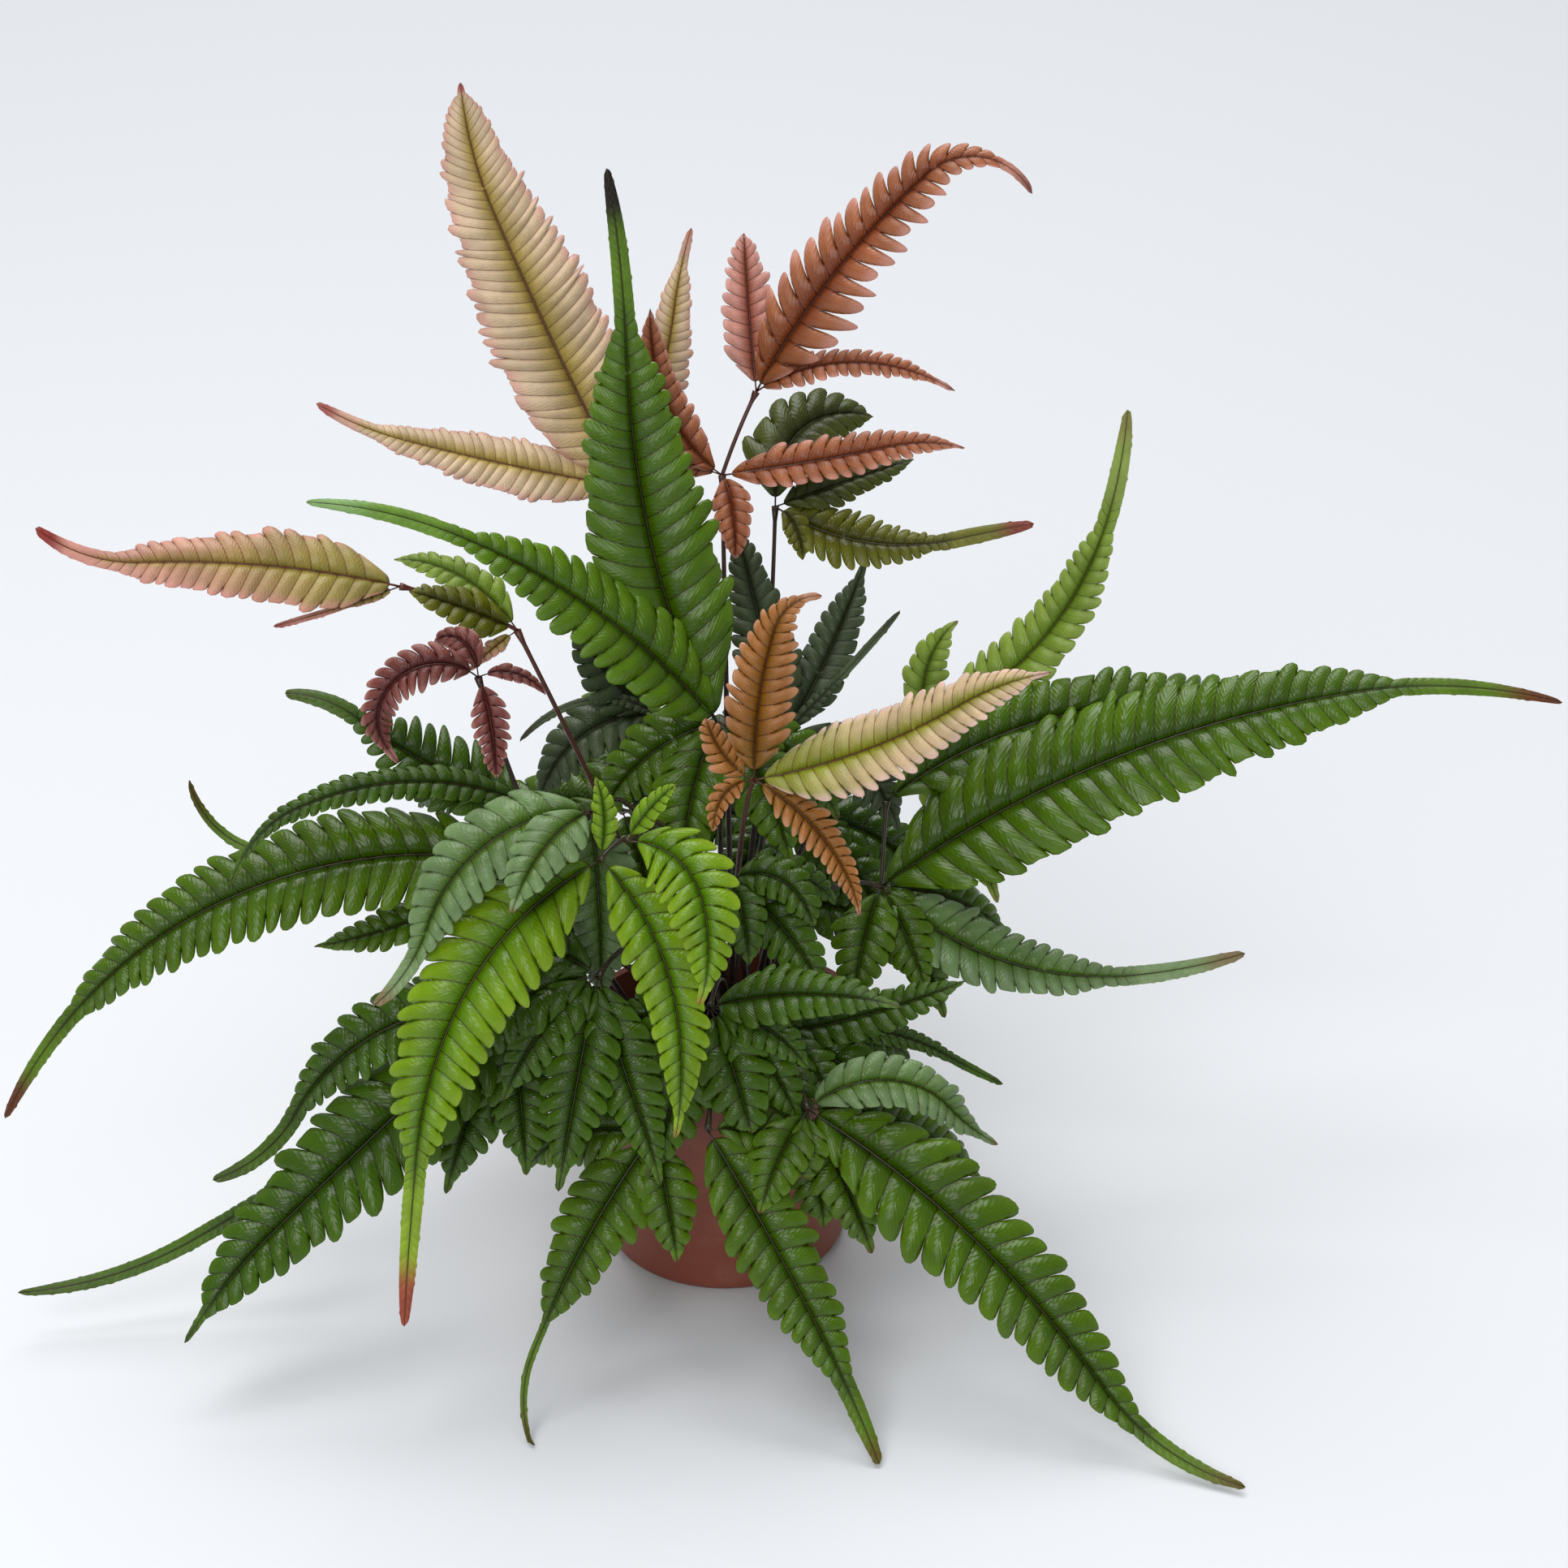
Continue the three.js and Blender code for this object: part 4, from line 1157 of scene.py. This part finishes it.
        # How far the tail has paled: partly young tissue and partly a painted sheen; the tip's own colour
        # follows.
        pale = smooth(along, 1 - 1.1 * leaf.tail, 1 - 0.7 * leaf.tail)
        tip = 0.5 * pale + 0.5 * leaf.tip * smooth(along, 0.98 - 0.5 * leaf.tail, 1 - 0.1 * leaf.tail)
        tone = self.each(0.5, count) + 0.5
        values = {
            Socket.PLACE: np.stack([along, u + full, np.abs(v) + full], axis=-1).reshape(-1, 3),
            Socket.LOBE: np.stack([q + full, tone + full, tip], axis=-1).reshape(-1, 3),
        }
        faces = grid_faces(count, self.across, self.round, flip=hand < 0)
        return Patch(points.reshape(-1, 3) * MM, faces, self.material, values)

    @staticmethod
    def between(marks: np.ndarray, w: np.ndarray) -> np.ndarray:
        """Blend values given at the lobes' ends across each lobe, so that neighbours agree."""
        low, high = marks[:-1, None, None], marks[1:, None, None]
        return low + (high - low) * (w + 1) / 2


@dataclass
class Foliage:
    """All the fronds, from the crown up; sizes in millimetres.

    `crown_top` is the height that roots start from, `rim_radius` and `rim_height` the pot's rim.
    Stalks and midribs are given by their radii. `foot_swell` thickens a stalk over the first
    `foot_reach` of its length, and `knot` over the last `knot_reach`.
    """

    crown_top: float
    rim_radius: float
    rim_height: float
    palette: Palette
    stalk_foot: float = 1.35
    stalk_top: float = 0.75
    midrib: float = 0.40
    midrib_tip: float = 0.15
    foot_swell: float = 0.8
    foot_reach: float = 4.0
    knot: float = 0.7
    knot_reach: float = 3.0
    end_knot_reach: float = 2.5
    blade: float = 0.35
    rings: int = 40
    stalk_sides: int = 10
    midrib_sides: int = 8

    def around(self, heading: float, out: float, up: float) -> np.ndarray:
        """A point at a heading and distance from the pot's axis, at a height."""
        turn = math.radians(heading)
        return np.array([out * math.cos(turn), out * math.sin(turn), up])

    def fork(self, frond: Frond) -> np.ndarray:
        """Where a frond forks."""
        heading, out, up = frond.fork
        if frond.over_rim:
            return self.around(heading, self.rim_radius + out, self.rim_height + up)
        return self.around(heading, out, self.crown_top + up)

    def stalk_spine(self, frond: Frond) -> Spine:
        """The stalk's line: a quadratic curve from its root towards its aim and over to the fork."""
        foot = self.around(*frond.root, self.crown_top - 0.5)
        top = self.fork(frond)
        aim = foot + (top - foot) * frond.bow
        aim[2] = top[2] + frond.arch
        t = np.linspace(0.0, 1.0, 120)[:, None]
        place = (1 - t) ** 2 * foot + 2 * t * (1 - t) * aim + t**2 * top
        along = unit(np.gradient(place, axis=0))
        flat = unit(np.cross(aim - foot, top - foot))
        side = np.tile(flat, (len(place), 1))
        length = float(np.linalg.norm(np.diff(place, axis=0), axis=1).sum())
        return Spine(length, place, along, side, np.cross(side, along))

    def knot_swell(self, s: np.ndarray, length: float, reach: float) -> np.ndarray:
        """The swelling before a fork, exp(-(d / reach)^2) at a distance d from it."""
        return self.knot * np.exp(-(((1 - s) * length / reach) ** 2))

    def build(self, frond: Frond, number: int) -> None:
        """Make one frond's two pieces: its blades, and its stalk with all its midribs.

        Args:
            frond: The frond's sizes.
            number: Its place in the table, which seeds its unevenness.
        """
        chance = np.random.default_rng(100 + number)
        fork = self.fork(frond)
        vein = frond.kind.value.vein
        spine = self.stalk_spine(frond)
        s = np.linspace(0.0, 1.0, self.rings)
        swell = self.foot_swell * np.exp(-((s * spine.length / self.foot_reach) ** 2))
        swell = self.knot_swell(s, spine.length, self.knot_reach) + swell
        radius = self.stalk_foot + (self.stalk_top - self.stalk_foot) * s + swell
        ribs = [tube(spine, radius, self.stalk_sides, (0.0, 0.6), vein)]
        end = fork
        if frond.midrib:
            line = bend(fork, frond.midrib)
            end = line.place[-1]
            radius = self.stalk_top + self.knot_swell(s, line.length, self.end_knot_reach)
            ribs.append(tube(line, radius, self.midrib_sides, (0.6, 0.7), vein))
        kinds = list(dict.fromkeys([leaf.kind or frond.kind for leaf in frond.leaflets]))
        blades = []
        for leaf in frond.leaflets:
            line = leaflet_spine(end if leaf.end else fork, leaf)
            kind = leaf.kind or frond.kind
            maker = BladeMaker(leaf, line, kinds.index(kind), chance)
            blades += [maker.side(1), maker.side(-1)]
            scale = 0.6 + 0.4 * min(1.0, leaf.length / 120)
            thin = scale * (self.midrib + (self.midrib_tip - self.midrib) * s**0.8)
            ribs.append(tube(line, thin, self.midrib_sides, (0.65, 1.0), kind.value.vein))
        materials = [self.palette.leaf(kind) for kind in kinds]
        leaf_piece = make_object(f"{frond.name}_blades", blades, materials)
        wall = leaf_piece.modifiers.new("thickness", "SOLIDIFY")
        wall.thickness = self.blade * MM
        wall.offset = -1.0
        place_piece(leaf_piece, frond.kind.value.slot, f"{frond.name}_leaf")
        stalk_piece = make_object(f"{frond.name}_ribs", ribs, [self.palette.stalk()])
        place_piece(stalk_piece, "stalk", f"{frond.name}_stalk")


# ---------------------------------------------------------------- pot, soil and crown


def uneven(x: np.ndarray, y: np.ndarray, waves: int, size: float, seed: int) -> np.ndarray:
    """Soft unevenness over a plane: sines of many headings, shorter ones lower.

    Args:
        x: Places, in millimetres.
        y: Places, in millimetres.
        waves: How many sines are added.
        size: The longest sine's length, in millimetres.
        seed: The seed of their headings.

    Returns:
        Heights of about -1 to 1.
    """
    chance = np.random.default_rng(seed)
    turn, phase = chance.uniform(0, 2 * np.pi, (2, waves))
    span = size * chance.uniform(0.08, 1.0, waves)
    inside = 2 * np.pi * (x[..., None] * np.cos(turn) + y[..., None] * np.sin(turn)) / span + phase
    return (np.sin(inside) * span).sum(-1) / np.sqrt((span**2).sum() / 2) / 2


def revolve(profile: np.ndarray, sides: int) -> tuple[np.ndarray, list[list[int]]]:
    """Turn a profile about the Z axis.

    Args:
        profile: Radii and heights, from the axis at the bottom outside to the axis again.
        sides: How many steps a full turn has.

    Returns:
        The points, and faces that look outwards.
    """
    turn = np.linspace(0.0, 2 * np.pi, sides, endpoint=False)
    x = profile[:, 0] * np.cos(turn)[:, None]
    y = profile[:, 0] * np.sin(turn)[:, None]
    points = np.stack([x, y, np.broadcast_to(profile[:, 1], x.shape)], axis=-1).reshape(-1, 3)
    rows = len(profile)
    here = np.arange(sides)[:, None] * rows + np.arange(rows - 1)
    after = (np.arange(sides)[:, None] + 1) % sides * rows + np.arange(rows - 1)
    return points, np.stack([here, after, after + 1, here + 1], axis=-1).reshape(-1, 4).tolist()


def rounded(corners: list[tuple[float, float, float]], steps: int = 6) -> np.ndarray:
    """Round the corners of an outline with quadratic curves.

    Args:
        corners: Each corner's radius from the axis, height, and how far its rounding reaches.
        steps: How many short lines make up a rounding.

    Returns:
        The outline's points.
    """
    spot = np.array([corner[:2] for corner in corners])
    t = np.linspace(0.0, 1.0, steps + 1)[:, None]
    outline = [spot[:1]]
    for before, here, after, (_, _, reach) in zip(spot, spot[1:], spot[2:], corners[1:]):
        start = here + unit(before - here) * reach
        end = here + unit(after - here) * reach
        outline.append((1 - t) ** 2 * start + 2 * t * (1 - t) * here + t**2 * end)
    outline.append(spot[-1:])
    return np.concatenate(outline)


@dataclass
class Holder:
    """The pot, the soil in it and the crown on the soil; radii and heights in millimetres."""

    rim_radius: float
    height: float
    palette: Palette
    base_radius: float = 46.0
    wall: float = 1.6
    floor: float = 2.2
    band: float = 13.0
    step: float = 1.6
    hole: float = 4.0
    hole_ring: float = 22.0
    holes: int = 4
    below_rim: float = 14.0
    dome: float = 2.0
    crown_radius: float = 23.0
    crown_height: float = 4.0
    clearance: float = 0.3
    crumb_count: int = 900
    scale_count: int = 420

    def wall_radius(self, z: float) -> float:
        """Radius of the pot's outer wall at a height, below its rim band."""
        return self.base_radius + (self.rim_radius - self.step - self.base_radius) * z / self.height

    def pot(self) -> None:
        """Make the pot: a tapered shell with a rim band, a raised foot ring and drainage holes."""
        top, foot = self.height, self.height - self.band
        inner = self.wall_radius(top) - self.wall
        profile = rounded(
            [
                (0.0, 1.0, 0.0),
                (self.base_radius - 11.0, 1.0, 1.2),
                (self.base_radius - 9.5, 0.0, 1.0),
                (self.wall_radius(0) - 1.0, 0.0, 5.0),
                (self.wall_radius(foot) - 0.1, foot, 0.5),
                (self.rim_radius - 0.5, foot + self.step, 0.8),
                (self.rim_radius, top - 0.4, 0.6),
                (self.rim_radius - 0.5, top, 0.4),
                (inner, top, 0.7),
                (self.wall_radius(self.floor) - self.wall - 1.0, self.floor + 1.0, 3.0),
                (0.0, self.floor + 1.0, 0.0),
            ]
        )
        points, faces = revolve(profile, 128)
        shell = make_object("pot_shell", [Patch(points * MM, faces, 0, {})], [self.palette.pot()])
        drill = bmesh.new()
        radius = self.hole * MM
        for i in range(self.holes):
            turn = 2 * np.pi * (i + 0.5) / self.holes
            made = bmesh.ops.create_cone(
                drill, cap_ends=True, segments=24, radius1=radius, radius2=radius, depth=20 * MM
            )
            offset = (self.hole_ring * np.cos(turn) * MM, self.hole_ring * np.sin(turn) * MM, 0.0)
            bmesh.ops.translate(drill, verts=made["verts"], vec=offset)
        cutter_mesh = bpy.data.meshes.new("drill")
        drill.to_mesh(cutter_mesh)
        drill.free()
        cutter = bpy.data.objects.new("drill", cutter_mesh)
        bpy.context.scene.collection.objects.link(cutter)
        cut = shell.modifiers.new("holes", "BOOLEAN")
        cut.object = cutter
        drilled = shell.evaluated_get(bpy.context.evaluated_depsgraph_get())
        settled = bpy.data.meshes.new_from_object(drilled)
        shell.modifiers.clear()
        shell.data = settled
        bpy.data.objects.remove(cutter)
        place_piece(shell, "pot_plastic", "pot")

    def mound(
        self, outline: np.ndarray, sides: int, waves: int, size: float, rise: float, seed: int
    ) -> Patch:
        """Turn an outline into a lump whose upper part is uneven.

        Args:
            outline: Radii and heights, from the axis at the bottom to the axis at the top.
            sides: How many steps a full turn has.
            waves: How many sines make the unevenness.
            size: The longest one's length.
            rise: How high the unevenness is.
            seed: The seed of the unevenness.

        Returns:
            The lump's patch.
        """
        points, faces = revolve(outline, sides)
        flat = outline[:, 1].max() - 3.0
        share = smooth(points[:, 2], flat, flat + 2.0)
        points[:, 2] += rise * share * uneven(points[:, 0], points[:, 1], waves, size, seed)
        return Patch(points * MM, faces, 0, {})

    def crumbs(self, place: np.ndarray, size: np.ndarray, seed: int) -> Patch:
        """Scatter small uneven lumps: twenty-faced balls, squashed and turned at random.

        Args:
            place: Their middles, in millimetres.
            size: Their three half sizes, in millimetres.
            seed: The seed of their shapes.

        Returns:
            The lumps' patch.
        """
        chance = np.random.default_rng(seed)
        ball = bmesh.new()
        bmesh.ops.create_icosphere(ball, subdivisions=1, radius=1.0)
        corner = np.array([vert.co for vert in ball.verts])
        face = np.array([[vert.index for vert in side.verts] for side in ball.faces])
        ball.free()
        turn = np.linalg.qr(chance.normal(size=(len(place), 3, 3)))[0]
        turn *= np.sign(np.linalg.det(turn))[:, None, None]
        lump = corner * size[:, None, :] * chance.uniform(0.75, 1.2, (len(place), len(corner), 1))
        points = np.einsum("nij,nkj->nki", turn, lump) + place[:, None, :]
        faces = face + np.arange(len(place))[:, None, None] * len(corner)
        return Patch(points.reshape(-1, 3) * MM, faces.reshape(-1, 3).tolist(), 0, {})

    def strewn(
        self, chance: np.random.Generator, count: int, edge: float
    ) -> tuple[np.ndarray, np.ndarray]:
        """Draw distances from the axis and angles that are even over a disc: out = edge sqrt(n)."""
        out = np.sqrt(chance.uniform(0.0, 1.0, count)) * edge
        return out, chance.uniform(0, 2 * np.pi, count)

    def soil(self) -> None:
        """Make the soil: a domed plug with an uneven top, strewn with crumbs."""
        top = self.height - self.below_rim
        edge = self.wall_radius(top) - self.wall - self.clearance
        foot = self.wall_radius(5.0) - self.wall - 4.0
        rings = np.linspace(0.0, 1.0, 60)
        dome = np.stack([edge * (1 - rings), top + self.dome * smooth(rings, 0.0, 0.45)], axis=-1)
        outline = np.concatenate([[[0.0, 4.0], [foot, 4.0], [edge - 0.4, top - 4.0]], dome])
        plug = self.mound(outline, sides=160, waves=60, size=14.0, rise=1.1, seed=4)
        chance = np.random.default_rng(7)
        count = self.crumb_count
        out, turn = self.strewn(chance, count, edge - 2.0)
        up = top + self.dome * smooth(1 - out / edge, 0.0, 0.45) + 0.5
        place = np.stack([out * np.cos(turn), out * np.sin(turn), up], axis=-1)
        size = chance.uniform(0.4, 1.0, (count, 1)) ** 2
        size = size * chance.uniform([1.0, 0.8, 0.5], [2.6, 1.6, 1.0], (count, 3))
        thing = make_object("soil_top", [plug, self.crumbs(place, size, 8)], [self.palette.soil()])
        place_piece(thing, "potting_soil", "soil")

    def crown(self) -> None:
        """Make the crown: a lumpy mound covered in narrow scales."""
        foot = self.height - self.below_rim + self.dome
        rings = np.linspace(0.0, 1.0, 40)
        up = foot + self.crown_height * smooth(rings, -0.3, 0.5)
        dome = np.stack([self.crown_radius * (1 - rings), up], axis=-1)
        outline = np.concatenate([[[0.0, foot - 1.0], [self.crown_radius, foot - 1.0]], dome])
        lump = self.mound(outline, sides=120, waves=40, size=9.0, rise=1.0, seed=5)
        chance = np.random.default_rng(9)
        count = self.scale_count
        out, turn = self.strewn(chance, count, self.crown_radius - 1.0)
        up = foot + self.crown_height * smooth(1 - out / self.crown_radius, -0.3, 0.5)
        place = np.stack([out * np.cos(turn), out * np.sin(turn), up + 0.4], axis=-1)
        size = chance.uniform([0.25, 0.35, 1.2], [0.5, 0.8, 3.2], (count, 3))
        thing = make_object("crown_mound", [lump, self.crumbs(place, size, 10)], [self.palette.crown()])
        place_piece(thing, "crown_tissue", "rhizome_crown")


# ---------------------------------------------------------------- stage


@dataclass
class Studio:
    """A pale floor, three soft lights, pale surroundings and the camera."""

    palette: Palette
    camera_place: tuple[float, float, float] = (0.02206, -0.92191, 0.65766)
    camera_tilt: float = 63.0
    lens: float = 67.17
    sensor: float = 36.0
    floor_half: float = 6.0
    surroundings: float = 0.34

    def floor(self) -> None:
        """Lay the floor."""
        mesh = bpy.data.meshes.new("floor")
        far = self.floor_half
        outline = [(-far, -far, 0.0), (far, -far, 0.0), (far, far, 0.0), (-far, far, 0.0)]
        mesh.from_pydata(outline, [], [(0, 1, 2, 3)])
        mesh.materials.append(self.palette.floor())
        thing = bpy.data.objects.new("floor", mesh)
        bpy.context.scene.collection.objects.link(thing)

    def light(
        self, name: str, place: tuple[float, float, float], size: float, watts: float, aim: float
    ) -> None:
        """Hang a square light that looks at the fern.

        Args:
            name: The light's name.
            place: Where it hangs, in metres.
            size: Its side, in metres.
            watts: Its power.
            aim: The height that it looks at, in metres.
        """
        lamp = bpy.data.lights.new(name, "AREA")
        lamp.shape = "SQUARE"
        lamp.size = size
        lamp.energy = watts
        thing = bpy.data.objects.new(name, lamp)
        look = np.array([0.0, 0.0, aim]) - np.array(place)
        flat = math.hypot(look[0], look[1])
        thing.rotation_euler = (math.atan2(flat, -look[2]), 0.0, math.atan2(-look[0], look[1]))
        thing.location = place
        bpy.context.scene.collection.objects.link(thing)

    def build(self) -> None:
        """Set up floor, lights, surroundings and camera."""
        self.floor()
        self.light("overhead", (-0.3, 3.0, 6.0), 4.4, 300.0, 0.3)
        self.light("sheen", (-0.5, -0.1, 1.8), 0.6, 6.0, 0.15)
        self.light("front", (-0.5, -2.2, 1.9), 1.8, 40.0, 0.15)
        world = bpy.data.worlds.new("room")
        world.use_nodes = True
        background = world.node_tree.nodes["Background"]
        background.inputs["Color"].default_value = tint("f2f3f4")
        background.inputs["Strength"].default_value = self.surroundings
        bpy.context.scene.world = world
        bpy.context.scene.view_settings.view_transform = "Standard"
        camera = bpy.data.cameras.new("camera")
        camera.lens = self.lens
        camera.sensor_width = self.sensor
        thing = bpy.data.objects.new("camera", camera)
        thing.location = self.camera_place
        thing.rotation_euler = (math.radians(self.camera_tilt), 0.0, 0.0)
        bpy.context.scene.collection.objects.link(thing)
        bpy.context.scene.camera = thing


def corners(box: tuple) -> list[list[float]]:
    """A box's two corners as plain lists."""
    return [[float(x) for x in corner] for corner in box]


def main() -> None:
    """Build every sub-assembly in order, sized from the frame's pot and crown."""
    logging.basicConfig(level=logging.INFO, format="%(message)s")
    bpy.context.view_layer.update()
    palette = Palette()
    Studio(palette).build()
    _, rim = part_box("pot")
    _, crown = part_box("rhizome_crown")
    holder = Holder(rim.x / MM, rim.z / MM, palette)
    holder.pot()
    holder.soil()
    holder.crown()
    foliage = Foliage(crown.z / MM, rim.x / MM, rim.z / MM, palette)
    for number, frond in enumerate(FRONDS):
        foliage.build(frond, number)


if __name__ == "__main__":
    main()
